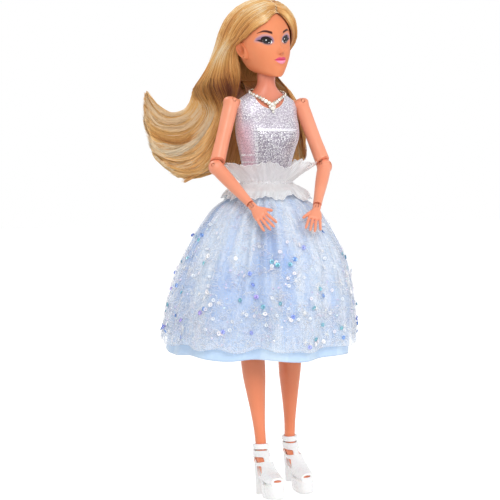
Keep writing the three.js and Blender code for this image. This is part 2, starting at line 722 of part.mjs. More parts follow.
function makeUpperArm(group, name, side) {
  const shape = limb(upperArmRowShares, upperArmLength, upperArmRadius);
  let arm = ball(shoulderBall).add(shape);
  const half = shoulderPeg.width / 2 + fit;
  const inner = shoulderPeg.tongue + fit;
  const far = shoulderBall + overrun;
  const eye = bore(shoulderPeg.tongue, vec(0, -half, 0), vec(0, half, 0));
  const slot = block(side * -far, side * inner, -half, half, -inner, far);
  arm = arm.subtract(eye.add(slot));
  arm = arm.subtract(bore(shoulderPeg.pin, vec(0, -far, 0), vec(0, far, 0)));
  const rise = (elbowFrontRise - elbowBackRise) / (upperArmRadius * 2);
  const below = block(-far * 2, far * 2, -far * 2, far * 2, -far * 4, 0)
    .rotate([-THREE.MathUtils.radToDeg(Math.atan(rise)), 0, 0]);
  const middle = (elbowFrontRise + elbowBackRise) / 2;
  arm = arm.subtract(moved(below, 0, 0, middle - upperArmLength));
  arm = arm.subtract(socket(elbowBall, 0, 0, -upperArmLength));
  arm = arm.subtract(bore(
    elbowPeg.stem,
    vec(0, 0, -upperArmLength),
    vec(0, 0, elbowBall + elbowPeg.stemLength + fit - upperArmLength)));
  piece(group, name, arm, materials.skin);
}

function makeTurnPeg(group, name, peg, ballRadius) {
  const stem = rod(peg.stem, vec(0, 0, peg.tongue), vec(0, 0, ballRadius + peg.stemLength));
  piece(group, name, stem.add(tongue(peg, peg.tongue * tongueRootShare)), materials.peg);
}

function makeForearm(group, name) {
  const shape = limb(forearmRowShares, forearmLength, forearmRadius);
  let arm = ball(elbowBall).add(shape);
  arm = arm.subtract(tongueSlot(elbowPeg, elbowBall, -1)).subtract(pinBore(elbowPeg, elbowBall));
  const far = forearmRadius * 2;
  arm = arm.subtract(block(-far, far, -far, far, -far - forearmLength, wristRise - forearmLength));
  arm = arm.subtract(socket(wristBall, 0, 0, -forearmLength, pinSides));
  arm = arm.subtract(bore(
    wristPeg.stem,
    vec(0, 0, -forearmLength),
    vec(0, 0, wristBall + wristPeg.stemLength + fit - forearmLength)));
  piece(group, name, arm, materials.skin);
}

function finger(length, radius) {
  return limb(fingerRowShares, length, radius, fingerSides);
}

function makeHand(group, name, side) {
  const palm = limb(palmRowShares, palmLength, palmHalfWidth, pinSides)
    .scale([1, palmHalfDepth / palmHalfWidth, 1]);
  let hand = ball(wristBall, 0, 0, 0, pinSides).add(palm);
  const middle = (fingerLengthShares.length - 1) / 2;
  fingerLengthShares.forEach((share, place) => {
    const x = (place - middle) * fingerSpacing * side;
    const splay = THREE.MathUtils.radToDeg(fingerSplayShares[place]) * side;
    const digit = finger(fingerLength * share, fingerRadius).rotate([0, -splay, 0]);
    hand = hand.add(moved(digit, x, 0, -palmLength * fingerRootShare));
  });
  const thumb = finger(thumbLength, thumbRadius).rotate([0, thumbOut * side, 0]);
  hand = hand.add(moved(thumb, -side * palmHalfWidth / 2, 0, -palmLength * thumbRootShare));
  hand = hand.subtract(tongueSlot(wristPeg, wristBall, 1).add(tongueSlot(wristPeg, wristBall, -1)));
  hand = hand.subtract(pinBore(wristPeg, wristBall));
  piece(group, name, hand, materials.skin);
}

function makeArm(label, { side, swing, spread, twist, bend, wristTurn, wristBend }) {
  const swingGroup = pivot(doll, `${label}_shoulder_swing`, shoulderCentre(side), forward, swing);
  makeShoulderPeg(swingGroup, `${label}_shoulder_peg`, side);
  const spreadGroup = pivot(swingGroup, `${label}_shoulder_spread`, vec(0, 0, 0), along, -side * spread);
  makeUpperArm(spreadGroup, `${label}_upper_arm`, side);
  const pinHalf = Math.sqrt(shoulderBall ** 2 - shoulderPeg.pin ** 2) - fit;
  piece(
    spreadGroup, `${label}_shoulder_pin`,
    rod(shoulderPeg.pin, vec(0, -pinHalf, 0), vec(0, pinHalf, 0)), materials.peg);
  const elbow = vec(0, 0, -upperArmLength);
  const twistGroup = pivot(spreadGroup, `${label}_elbow_twist`, elbow, upright, -side * twist);
  makeTurnPeg(twistGroup, `${label}_elbow_peg`, elbowPeg, elbowBall);
  const bendGroup = pivot(twistGroup, `${label}_elbow_bend`, vec(0, 0, 0), forward, bend);
  makeForearm(bendGroup, `${label}_forearm`);
  piece(bendGroup, `${label}_elbow_pin`, pinAcross(elbowPeg, elbowBall), materials.peg);
  const wrist = vec(0, 0, -forearmLength);
  const turnGroup = pivot(bendGroup, `${label}_wrist_turn`, wrist, upright, wristTurn);
  makeTurnPeg(turnGroup, `${label}_wrist_peg`, wristPeg, wristBall);
  const wristGroup = pivot(turnGroup, `${label}_wrist_bend`, vec(0, 0, 0), forward, wristBend);
  makeHand(wristGroup, `${label}_hand`, side);
  piece(wristGroup, `${label}_wrist_pin`, pinAcross(wristPeg, wristBall), materials.peg);
}

// Legs, feet and shoes

function makeHipPeg(group, name, side) {
  const reach = hipSpacing / 2;
  const inner = side * (hipFlangeInset - reach);
  const flange = rod(hipFlange, vec(inner, 0, 0), vec(side * (hipFlangeInset + hipFlangeWidth - reach), 0, 0));
  const half = hipPeg.width / 2;
  const stemEnd = side * -hipPeg.tongue;
  const stem = rod(hipStem, vec(inner, 0, 0), vec(stemEnd / 2, 0, 0));
  const eye = rod(hipPeg.tongue, vec(0, -half, 0), vec(0, half, 0));
  const hole = bore(hipPeg.pin, vec(0, -half - overrun, 0), vec(0, half + overrun, 0));
  piece(group, name, union([flange, stem, eye]).subtract(hole), materials.peg);
}

function makeThigh(group, name, side) {
  let thigh = ball(hipBall).add(limb(thighRowShares, thighLength, thighRadius));
  const half = hipPeg.width / 2 + fit;
  const inner = hipPeg.tongue + fit;
  const far = hipBall + overrun;
  const eye = bore(hipPeg.tongue, vec(0, -half, 0), vec(0, half, 0));
  thigh = thigh.subtract(eye.add(block(side * -far, side * inner, -half, half, -inner, far)));
  thigh = thigh.subtract(bore(hipPeg.pin, vec(0, -far * 2, 0), vec(0, far * 2, 0)));
  const rise = (kneeBackRise - kneeRise) / (thighRadius * 2);
  const below = block(-far * 2, far * 2, -far * 2, far * 2, -far * 4, 0)
    .rotate([THREE.MathUtils.radToDeg(Math.atan(rise)), 0, 0]);
  thigh = thigh.subtract(moved(below, 0, 0, (kneeBackRise + kneeRise) / 2 - thighLength));
  thigh = thigh.subtract(socket(kneeBall, 0, 0, -thighLength));
  const link = tongue(kneePeg, kneeBall + overrun);
  piece(group, name, thigh.add(moved(link, 0, 0, -thighLength)), materials.skin);
}

// The foot's path runs down from the ankle and forwards to the toes.
function footSolid(margin) {
  const path = footRouteShares.map(([ahead, down]) => vec(0, -ahead * footLength, -down * footDrop));
  const rings = footRouteShares.map(([, , wide, deep], step) => {
    const before = path[Math.max(step - 1, 0)];
    const after = path[Math.min(step + 1, path.length - 1)];
    const heading = after.clone().sub(before).normalize();
    const normal = vec(0, -heading.z, heading.y);
    const last = step === footRouteShares.length - 1;
    const centre = path[step].clone().addScaledVector(heading, last ? margin : 0);
    return Array.from({ length: footSides }, (_, side) => {
      const angle = (side / footSides) * 2 * Math.PI;
      return centre.clone()
        .addScaledVector(across, (wide * footHalfWidth + margin) * Math.cos(angle))
        .addScaledVector(normal, (deep * footHalfWidth + margin) * Math.sin(angle));
    });
  });
  return skinned(rings).add(ball(heelBall + margin, 0, heelBack, -heelDrop, footSides));
}

function makeShin(group, name, side) {
  const rings = shinRowShares.map(([down, wide, deep, shift]) => ellipse(
    limbSides, -side * shinInset * down, shift * calfRadius, -down * shinLength,
    wide * calfRadius, deep * calfRadius));
  let shin = ball(kneeBall).add(skinned(rings));
  shin = shin.subtract(tongueSlot(kneePeg, kneeBall, 1)).subtract(pinBore(kneePeg, kneeBall));
  shin = shin.add(moved(footSolid(0), -side * shinInset, 0, -shinLength));
  piece(group, name, shin, materials.skin);
}

function platformSolid() {
  const length = platformFront - platformBack;
  const middle = -(platformFront + platformBack) / 2;
  const squared = (value) => Math.sign(value) * Math.abs(value) ** platformSquareness;
  return skinned(platformRowShares.map(([rise, grow]) => (
    Array.from({ length: platformSides }, (_, side) => {
      const angle = (side / platformSides) * 2 * Math.PI;
      return vec(
        grow * platformHalfWidth * squared(Math.cos(angle)),
        middle + grow * (length / 2) * squared(Math.sin(angle)),
        rise * platformThickness - soleDrop);
    }))));
}

function heelSolid() {
  const rows = [
    [-soleDrop, heelFootBack, heelFootHalfWidth],
    [THREE.MathUtils.lerp(-soleDrop, -heelTopDrop, heelBendShare), heelFootBack, heelFootHalfWidth],
    [-heelTopDrop - heelTopHalfWidth, heelBack + overrun, heelTopHalfWidth],
    [-heelTopDrop, heelBack, heelTopHalfWidth],
  ];
  return skinned(rows.map(([z, back, half]) => ellipse(pinSides, 0, back, z, half, half)));
}

function shankSolid() {
  const from = vec(0, heelBack, -heelDrop - heelBall);
  const to = vec(0, -platformBack - platformThickness / 2, platformThickness * shankLandingShare - soleDrop);
  const ring = (place) => [
    vec(-shankHalfWidth, place.y, place.z + shankThickness), vec(shankHalfWidth, place.y, place.z + shankThickness),
    vec(shankHalfWidth, place.y, place.z - shankThickness), vec(-shankHalfWidth, place.y, place.z - shankThickness)];
  return skinned([ring(from), ring(to)]);
}

function makeShoe(group, name, side) {
  const upper = footSolid(shoeFit + shoeWall);
  const far = footLength * 2;
  const lowered = upper.intersect(block(-far, far, -far, far, -soleDrop, 0));
  let shoe = union([lowered, platformSolid(), heelSolid(), shankSolid()]);
  const collar = rod(strapOuter, vec(0, 0, -strapSpacing * 2), vec(0, 0, 0), limbSides);
  shoe = shoe.add(collar.subtract(block(-far, far, -far, far, -far, -strapSpacing * 2)));
  shoe = shoe.subtract(footSolid(shoeFit));
  const shaft = skinned(shinRowShares.slice(-2).map(([down, wide, deep]) => ellipse(
    limbSides, side * shinInset * (1 - down), 0, (1 - down) * shinLength,
    wide * calfRadius + shoeFit, deep * calfRadius + shoeFit)));
  shoe = shoe.subtract(shaft);
  const slitTop = -strapHeight;
  shoe = shoe.subtract(block(-far, far, -far, heelBack, slitTop - strapSlit, slitTop));
  const platformTop = platformThickness - soleDrop;
  const windowTop = -strapSpacing * 2 + strapSlit;
  const windowFoot = windowTop - upperWindowHeight;
  for (const cheek of [-1, 1]) {
    shoe = shoe.subtract(block(cheek * windowHalfGap, cheek * far, -far, 0, windowFoot, windowTop));
    shoe = shoe.subtract(block(
      cheek * windowHalfGap, cheek * far, -platformBack * 2, -windowHalfGap,
      platformTop + lowerWindowRise, windowFoot - windowSpacing));
  }
  const toeTop = platformTop + toeSlitRise;
  shoe = shoe.subtract(block(
    -toeSlitHalfWidth, toeSlitHalfWidth, -far, -footLength, toeTop - toeSlitHeight, toeTop));
  piece(group, name, shoe, materials.shoe);
}

function makeLeg(label, { side, hipSwing, hipSpread, knee }) {
  const swingGroup = pivot(doll, `${label}_hip_swing`, hipCentre(side), forward, hipSwing);
  makeHipPeg(swingGroup, `${label}_hip_peg`, side);
  const spreadGroup = pivot(swingGroup, `${label}_hip_spread`, vec(0, 0, 0), along, -side * hipSpread);
  makeThigh(spreadGroup, `${label}_thigh`, side);
  const pinHalf = Math.sqrt(hipBall ** 2 - hipPeg.pin ** 2) - fit;
  piece(
    spreadGroup, `${label}_hip_pin`, rod(hipPeg.pin, vec(0, -pinHalf, 0), vec(0, pinHalf, 0)), materials.peg);
  const kneeGroup = pivot(spreadGroup, `${label}_knee_bend`, vec(0, 0, -thighLength), across, knee);
  makeShin(kneeGroup, `${label}_shin`, side);
  piece(kneeGroup, `${label}_knee_pin`, pinAcross(kneePeg, kneeBall), materials.peg);
  const ankle = new THREE.Group();
  ankle.position.set(-side * shinInset, 0, -shinLength);
  kneeGroup.add(ankle);
  makeShoe(ankle, `${label}_shoe`, side);
}

for (const [label, angles] of Object.entries(pose)) {
  makeArm(label, angles);
  makeLeg(label, angles);
}

// Dress

function makeBodice() {
  const far = torsoHalfWidth * 2;
  let cloth = torsoSolid(clothFit + bodiceThickness).subtract(torsoSolid(clothFit));
  cloth = cloth.intersect(block(-far, far, -far, far, bodiceBottom, neckline.height));
  for (const side of [-1, 1]) {
    const shoulder = shoulderCentre(side);
    const hole = rod(
      armholeRadius,
      vec(side * (shoulderSpacing / 2 - armholeRadius - overrun), 0, shoulderHeight - armholeDrop),
      vec(side * far, 0, shoulderHeight - armholeDrop),
      limbSides);
    cloth = cloth.subtract(hole);
    cloth = cloth.subtract(ball(shoulderBall + fit * 2, shoulder.x, shoulder.y, shoulder.z));
  }
  const scoop = (depth, from, to) => {
    const shape = new THREE.CylinderGeometry(1, 1, Math.abs(to - from), neckline.sides);
    shape.scale(neckline.halfWidth, 1, depth);
    shape.translate(0, (from + to) / 2, neckline.height);
    return solid(shape);
  };
  cloth = cloth.subtract(scoop(neckline.depth, -far, 0));
  cloth = cloth.subtract(scoop(backNeckDrop, 0, far));
  piece(doll, 'bodice', cloth, materials.lame);
}

function makeClosure() {
  const gap = clothFit + bodiceThickness + fit;
  const half = closureWidth / 2;
  const far = torsoHalfDepth * 3;
  const bottom = bodiceBottom + bandWidth;
  const layer = torsoSolid(gap + closureThickness).subtract(torsoSolid(gap));
  const strip = layer.intersect(block(-half, half, 0, far, bottom, bottom + closureLength));
  piece(doll, 'bodice_closure', strip, materials.organza);
}

// A closed sheet of cloth round the body. `place` gives the point at each turn and row,
// moved inwards by the thickness for the inner side.
function clothTube(sides, rows, thickness, place) {
  const points = [];
  for (const inside of [false, true]) {
    for (let row = 0; row < rows; row += 1) {
      for (let side = 0; side < sides; side += 1) {
        points.push(place((side / sides) * 2 * Math.PI, row, inside ? -thickness : 0));
      }
    }
  }
  const layer = rows * sides;
  const index = [];
  const quad = (a, b, c, d) => index.push(a, b, c, a, c, d);
  for (let side = 0; side < sides; side += 1) {
    const next = (side + 1) % sides;
    for (let row = 0; row + 1 < rows; row += 1) {
      const a = row * sides + side;
      const b = row * sides + next;
      quad(a, a + sides, b + sides, b);
      quad(layer + a, layer + b, layer + b + sides, layer + a + sides);
    }
    const low = (rows - 1) * sides;
    quad(side, next, layer + next, layer + side);
    quad(low + side, layer + low + side, layer + low + next, low + next);
  }
  return faced(points, index);
}

function bodyHalf(axis, height) {
  const share = (height - torsoBottom) / torsoHeight;
  const next = torsoRowShares.findIndex(([rise]) => rise > share);
  const [low, high] = [torsoRowShares[next - 1], torsoRowShares[next]];
  const part = (share - low[0]) / (high[0] - low[0]);
  const column = axis === 'x' ? 1 : 2;
  const size = axis === 'x' ? torsoHalfWidth : torsoHalfDepth;
  return size * THREE.MathUtils.lerp(low[column], high[column], part);
}

const bandInner = clothFit + bodiceThickness + fit;

function makeBand() {
  const rows = [bandHeight + bandWidth / 2, bandHeight - bandWidth / 2];
  const band = clothTube(bandSides, rows.length, bandThickness, (angle, row, inset) => {
    const reach = bandInner + bandThickness + inset;
    return vec(
      (bodyHalf('x', bandHeight) + reach) * Math.cos(angle),
      (bodyHalf('y', bandHeight) + reach) * Math.sin(angle),
      rows[row]);
  });
  piece(doll, 'waist_band', band, materials.organza);
}

// Frills spring from the band's edge and wave more the further they reach.
function makeRuffle(name, rise, rows) {
  const wave = (angle) => (
    Math.sin(ruffleWaves * angle) + ruffleUnevenShare * Math.sin(ruffleUnevenWaves * angle));
  const body = clothTube(ruffleSides, rows.length, ruffleThickness, (angle, row, inset) => {
    const [height, reach] = rows[row];
    const out = bandInner + bandThickness + fit + ruffleThickness + reach * ruffleReach;
    const ripple = ruffleWave * reach * wave(angle);
    const lift = inset * Math.sign(rise) * reach;
    return vec(
      (bodyHalf('x', bandHeight) + out + inset * (1 - reach)) * Math.cos(angle),
      (bodyHalf('y', bandHeight) + out + inset * (1 - reach)) * Math.sin(angle),
      bandHeight + height * rise + ripple - lift);
  });
  piece(doll, name, body, materials.organza);
}

function skirtRadius(share) {
  const next = Math.max(1, skirtRowShares.findIndex(([down]) => down >= share));
  const [low, high] = [skirtRowShares[next - 1], skirtRowShares[next]];
  const part = (share - low[0]) / (high[0] - low[0]);
  return skirtReach * THREE.MathUtils.lerp(low[1], high[1], part);
}

// Uneven folds, as a gathered skirt falls.
function skirtFold(angle) {
  return skirtFoldWaveShares.reduce((sum, [waves, size, turn]) => (
    sum + size * Math.sin(waves * angle + turned(turn))), 0);
}

function makeSkirt(name, lift, length, thickness, material) {
  const body = clothTube(skirtSides, skirtRowShares.length, thickness, (angle, row, inset) => {
    const share = skirtRowShares[row][0] * length / skirtLength;
    const fold = skirtFoldDepth * share * skirtFold(angle);
    const reach = skirtRadius(share) + lift + inset + fold;
    return vec(
      reach * Math.cos(angle) - skirtSway * share ** 2,
      reach * skirtDepthShare * Math.sin(angle),
      skirtTop - share * skirtLength);
  });
  piece(doll, name, body, material);
}

makeBodice();
makeClosure();
makeBand();
makeRuffle('ruffle_upper', upperRuffleRise, upperRuffleRowShares);
makeRuffle('ruffle_lower', -lowerRuffleDrop, lowerRuffleRowShares);
makeSkirt('underskirt', 0, skirtLength, liningThickness, materials.satin);
makeSkirt(
  'overskirt', overskirtLift, skirtLength - overskirtShort, overskirtThickness, materials.tulle);

// Necklace: beads on a cord that lies round the neck, with a drop in front

function necklacePlace(angle) {
  const front = (1 - Math.sin(angle)) / 2;
  const z = necklaceHeight - necklaceDrop * front ** 2;
  return vec(
    (bodyHalf('x', z) + necklaceMargin) * Math.cos(angle),
    (bodyHalf('y', z) + necklaceMargin) * Math.sin(angle),
    z);
}

// The string of beads is one closed ring whose section swells at each bead.
function makeNecklace() {
  const rings = necklaceBeads * 2;
  const places = Array.from({ length: rings }, (_, step) => (
    necklacePlace((step / rings) * 2 * Math.PI - Math.PI / 2)));
  const points = [];
  const index = [];
  places.forEach((place, step) => {
    const before = places[(step + rings - 1) % rings];
    const after = places[(step + 1) % rings];
    const heading = after.clone().sub(before).normalize();
    const out = vec(place.x, place.y, 0).normalize();
    const rise = vec(0, 0, 0).crossVectors(heading, out).normalize();
    const radius = step % 2 === 0 ? beadRadius : cordRadius;
    for (let side = 0; side < beadSides; side += 1) {
      const angle = (side / beadSides) * 2 * Math.PI;
      points.push(place.clone()
        .addScaledVector(out, radius * Math.cos(angle))
        .addScaledVector(rise, radius * Math.sin(angle)));
      const next = (side + 1) % beadSides;
      const a = step * beadSides + side;
      const b = step * beadSides + next;
      const c = ((step + 1) % rings) * beadSides + next;
      const d = ((step + 1) % rings) * beadSides + side;
      index.push(a, b, c, a, c, d);
    }
  });
  const chain = faced(points, index);
  piece(doll, 'necklace', chain, materials.crystal);
  const height = places[0].z - pendantDrop;
  const surface = bodyHalf('y', height) + clothFit + bodiceThickness;
  const pendant = ball(pendantRadius, 0, -surface - pendantRadius - fit, height, pendantSides);
  piece(doll, 'pendant', pendant, materials.crystal);
}

makeNecklace();

// The doll stands over the origin: the box round it is centred and its lowest point is at zero.
doll.updateMatrixWorld(true);
const box = new THREE.Box3().setFromObject(doll, true);
doll.position.set(-(box.min.x + box.max.x) / 2, -(box.min.y + box.max.y) / 2, -box.min.z);

export default doll;
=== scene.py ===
import json
import math

import bpy
import numpy as np
from mathutils import Matrix, Vector


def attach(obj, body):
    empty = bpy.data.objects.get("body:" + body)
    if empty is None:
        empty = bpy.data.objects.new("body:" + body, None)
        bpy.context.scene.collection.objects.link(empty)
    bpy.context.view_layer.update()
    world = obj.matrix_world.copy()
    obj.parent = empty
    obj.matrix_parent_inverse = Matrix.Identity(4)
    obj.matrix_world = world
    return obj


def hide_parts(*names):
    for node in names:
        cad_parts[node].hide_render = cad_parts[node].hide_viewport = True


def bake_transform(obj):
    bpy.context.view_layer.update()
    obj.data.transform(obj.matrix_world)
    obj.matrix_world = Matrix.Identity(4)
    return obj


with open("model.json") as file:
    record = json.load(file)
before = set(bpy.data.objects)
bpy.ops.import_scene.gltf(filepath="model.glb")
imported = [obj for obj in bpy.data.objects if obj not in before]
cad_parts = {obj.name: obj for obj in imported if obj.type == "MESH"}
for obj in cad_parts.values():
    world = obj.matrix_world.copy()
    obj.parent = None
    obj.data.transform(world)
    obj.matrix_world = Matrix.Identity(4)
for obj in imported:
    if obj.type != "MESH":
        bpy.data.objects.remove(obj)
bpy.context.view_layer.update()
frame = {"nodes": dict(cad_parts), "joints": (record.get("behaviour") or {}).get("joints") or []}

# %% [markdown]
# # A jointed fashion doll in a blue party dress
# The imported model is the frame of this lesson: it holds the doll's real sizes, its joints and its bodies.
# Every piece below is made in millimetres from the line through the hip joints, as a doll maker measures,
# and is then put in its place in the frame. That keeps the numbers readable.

MM = 0.001
hip_joints = [joint for joint in frame["joints"] if joint["name"].endswith("hip_swing")]
hip_line = np.mean([joint["pos_m"] for joint in hip_joints], axis=0)


def placed(points, matrix=None):
    """Millimetres from the hip line, after an optional turn and shift, as metres in the frame."""
    points = np.asarray(points, float)
    if matrix is not None:
        points = points @ matrix[:3, :3].T + matrix[:3, 3]
    return points * MM + hip_line


def shifted(x=0.0, y=0.0, z=0.0):
    matrix = np.eye(4)
    matrix[:3, 3] = x, y, z
    return matrix


def turned(axis, degrees):
    return np.array(Matrix.Rotation(math.radians(degrees), 4, axis))


print("hip line at", hip_line.round(4), "with", len(frame["nodes"]), "nodes")

# %% [markdown]
# ## Meshes from rings
# Limbs, heads and cloth are all rows of points. A loft joins rings of points into a closed skin, the way
# a mould is drawn from its cross sections. Bulk arrays fill the mesh, which is much faster than adding
# faces one at a time. The sign of the volume tells whether the skin faces outwards.

# %% Mesh makers
NO_TRIS = np.zeros((0, 3), int)


def circle(count):
    """Turns at even steps once round."""
    return np.arange(count) / count * 2 * np.pi


def linked(name, data):
    """A new object, linked to the scene."""
    made = bpy.data.objects.new(name, data)
    bpy.context.scene.collection.objects.link(made)
    return made


def places_of(mesh):
    points = np.empty(len(mesh.vertices) * 3)
    mesh.vertices.foreach_get("co", points)
    return points.reshape(-1, 3)


def mesh_from(name, points, quads=None, tris=None):
    quads = np.zeros((0, 4), int) if quads is None else np.asarray(quads, int)
    tris = NO_TRIS if tris is None else np.asarray(tris, int)
    corners = np.concatenate([quads.ravel(), tris.ravel()])
    starts = np.concatenate([np.arange(len(quads)) * 4, len(quads) * 4 + np.arange(len(tris)) * 3])
    mesh = bpy.data.meshes.new(name)
    mesh.vertices.add(len(points))
    mesh.vertices.foreach_set("co", np.asarray(points, np.float32).ravel())
    mesh.loops.add(len(corners))
    mesh.loops.foreach_set("vertex_index", corners.astype(np.int32))
    mesh.polygons.add(len(starts))
    mesh.polygons.foreach_set("loop_start", starts.astype(np.int32))
    mesh.polygons.foreach_set("use_smooth", np.ones(len(starts), bool))
    mesh.update(calc_edges=True)
    return mesh


def outward(points, quads, tris):
    loose = np.vstack([quads[:, [0, 1, 2]], quads[:, [0, 2, 3]], tris]) if len(quads) else tris
    a, b, c = (points[loose[:, k]] for k in range(3))
    if np.einsum("ij,ij->", a, np.cross(b, c)) < 0:
        quads, tris = quads[:, ::-1], tris[:, ::-1]
    return points, quads, tris


def loft(rings):
    """Rings of points, one per row, joined into a closed skin with a fan at each end."""
    rings = np.asarray(rings, float)
    rows, sides = rings.shape[:2]
    index = np.arange(rows * sides).reshape(rows, sides)
    after = np.roll(index, -1, axis=1)
    quads = np.stack([index[:-1], after[:-1], after[1:], index[1:]], axis=-1).reshape(-1, 4)
    hub = rows * sides
    points = np.vstack([rings.reshape(-1, 3), rings[0].mean(0), rings[-1].mean(0)])
    tris = np.vstack([
        np.stack([np.full(sides, hub), after[0], index[0]], axis=-1),
        np.stack([np.full(sides, hub + 1), index[-1], after[-1]], axis=-1)])
    return outward(points, quads, tris)


def ring_quads(rows, sides):
    """Faces of rings that close round, and also from the last ring back to the first."""
    index = np.arange(rows * sides).reshape(rows, sides)
    below = np.roll(index, -1, axis=0)
    return np.stack([index, np.roll(index, -1, 1), np.roll(below, -1, 1), below], -1).reshape(-1, 4)


def sheet_quads(rows, columns):
    """Faces of a closed sheet: a grid, the same grid underneath and the walls along its rim."""
    far = rows * columns
    index = np.arange(far).reshape(rows, columns)
    top = np.stack([index[:-1, :-1], index[:-1, 1:], index[1:, 1:], index[1:, :-1]], -1).reshape(-1, 4)
    rim = np.concatenate([index[0, :-1], index[:-1, -1], index[-1, :0:-1], index[:0:-1, 0]])
    after = np.roll(rim, -1)
    return np.vstack([top, top[:, ::-1] + far, np.stack([after, rim, rim + far, after + far], -1)])


def eased(table, at):
    """Smooth values of a table's columns at places along its first column."""
    table = np.asarray(table, float)
    at = np.clip(np.asarray(at, float), table[0, 0], table[-1, 0])
    x, y = table[:, 0], table[:, 1:]
    slope = np.gradient(y, x, axis=0)
    low = np.clip(np.searchsorted(x, at, side="right") - 1, 0, len(x) - 2)
    span = (x[low + 1] - x[low])[..., None]
    t = ((at - x[low])[..., None]) / span
    return ((2 * t**3 - 3 * t**2 + 1) * y[low] + (t**3 - 2 * t**2 + t) * span * slope[low]
            + (3 * t**2 - 2 * t**3) * y[low + 1] + (t**3 - t**2) * span * slope[low + 1])


def ellipse(sides, x, y, z, half_width, half_depth):
    angle = circle(sides)
    return np.stack([x + half_width * np.cos(angle), y + half_depth * np.sin(angle),
                     np.full(sides, float(z))], axis=-1)


def smooth_step(low, high, value):
    t = np.clip((np.asarray(value, float) - low) / (high - low), 0, 1)
    return t * t * (3 - 2 * t)


def bulge(value, middle, half):
    return np.exp(-(((value - middle) / half) ** 2))


# %% [markdown]
# ## Working solids
# Sockets, slots and windows are cut with Boolean modifiers from plain tools. The modifiers are then
# settled into plain meshes. A voxel remesh with a little smoothing rounds every edge at once, as the
# radius of an injection mould does.

# %% Solids, cuts and finished pieces
def working(shape, name="tool"):
    return linked(name, mesh_from(name, *shape))


def settle(piece):
    bpy.context.view_layer.update()
    graph = bpy.context.evaluated_depsgraph_get()
    mesh = bpy.data.meshes.new_from_object(piece.evaluated_get(graph))
    spent = piece.data
    piece.modifiers.clear()
    piece.data = mesh
    bpy.data.meshes.remove(spent)


def cut(piece, *tools, operation="DIFFERENCE"):
    for tool in tools:
        step = piece.modifiers.new("cut", "BOOLEAN")
        step.operation = operation
        step.object = tool
        step.solver = "MANIFOLD"
    settle(piece)
    for tool in tools:
        bpy.data.objects.remove(tool)
    return piece


def melt(piece, voxel, rounds):
    """One skin over everything in the piece, with rounded edges."""
    remesh = piece.modifiers.new("melt", "REMESH")
    remesh.mode = "VOXEL"
    remesh.voxel_size = voxel
    remesh.use_smooth_shade = True
    soften = piece.modifiers.new("soften", "SMOOTH")
    soften.iterations = rounds
    soften.factor = 0.5
    settle(piece)
    return piece


def ball(radius, x=0.0, y=0.0, z=0.0, sides=40):
    turn = np.linspace(0, np.pi, sides // 2 + 1)[1:-1]
    return loft([ellipse(sides, x, y, z - radius * math.cos(t), radius * math.sin(t), radius * math.sin(t))
                 for t in turn])


def rod(radius, start, end, sides=32):
    start, end = np.asarray(start, float), np.asarray(end, float)
    heading = (end - start) / np.linalg.norm(end - start)
    side = np.cross(heading, [0, 0, 1] if abs(heading[2]) < 0.9 else [1, 0, 0])
    side /= np.linalg.norm(side)
    up = np.cross(heading, side)
    angle = circle(sides)
    ring = radius * (np.cos(angle)[:, None] * side + np.sin(angle)[:, None] * up)
    return loft([start + ring, end + ring])


def block(low, high):
    (x0, y0, z0), (x1, y1, z1) = low, high
    outline = np.array([[x0, y0], [x1, y0], [x1, y1], [x0, y1]], float)
    return loft([np.c_[outline, np.full(4, float(z))] for z in (z0, z1)])


def finished(piece, name, material, body, matrix=None, replaced=(), sharp=38):
    """Puts a working solid in its place in the frame and makes it a piece of the doll."""
    mesh = piece.data
    mesh.vertices.foreach_set("co", placed(places_of(mesh), matrix).astype(np.float32).ravel())
    mesh.polygons.foreach_set("use_smooth", np.ones(len(mesh.polygons), bool))
    mesh.set_sharp_from_angle(angle=math.radians(sharp))
    mesh.materials.clear()
    mesh.materials.append(material)
    mesh.update()
    piece.name = mesh.name = name
    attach(piece, body)
    if replaced:
        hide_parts(*replaced)
    print(name, len(mesh.polygons), "faces")
    return piece


# %% [markdown]
# ## Colours and materials
# Colours are written as on a screen and turned to linear light once. One helper adds a shader node with
# its settings and its links, so that each material below reads like a short recipe.

# %% Colour and node helpers
def linear(code):
    shares = [int(code[k:k + 2], 16) / 255 for k in (1, 3, 5)]
    return [s / 12.92 if s <= 0.04045 else ((s + 0.055) / 1.055) ** 2.4 for s in shares] + [1.0]


def connect(tree, made, values):
    """Links sockets to the inputs of a node and sets the inputs whose values are plain."""
    for key, value in values.items():
        if isinstance(value, bpy.types.NodeSocket):
            tree.links.new(value, made.inputs[key])
        else:
            made.inputs[key].default_value = value
    return made


def node(tree, kind, values=None, **settings):
    made = tree.nodes.new(kind)
    for key, value in settings.items():
        setattr(made, key, value)
    return connect(tree, made, values or {})


def material(name):
    made = bpy.data.materials.new(name)
    made.use_nodes = True
    shader = made.node_tree.nodes["Principled BSDF"]
    return made, made.node_tree, shader


def ramp(tree, factor, *stops):
    made = node(tree, "ShaderNodeValToRGB", {0: factor})
    bands = made.color_ramp.elements
    while len(bands) < len(stops):
        bands.new(0.5)
    for band, (position, code) in zip(bands, stops):
        band.position = position
        band.color = linear(code) if isinstance(code, str) else (code, code, code, 1.0)
    return made.outputs[0]


def noise(tree, vector, scale, detail=2.0, rough=0.5, distortion=0.0):
    return node(tree, "ShaderNodeTexNoise", {
        "Vector": vector, "Scale": scale, "Detail": detail, "Roughness": rough,
        "Distortion": distortion}).outputs[0]


def blended(tree, factor, first, second, kind="MIX"):
    return node(tree, "ShaderNodeMix", {0: factor, 6: first, 7: second}, data_type="RGBA",
                blend_type=kind).outputs[2]


def remapped(tree, value, low, high, to_low=0.0, to_high=1.0):
    return node(tree, "ShaderNodeMapRange", {
        "Value": value, "From Min": low, "From Max": high, "To Min": to_low, "To Max": to_high}).outputs[0]


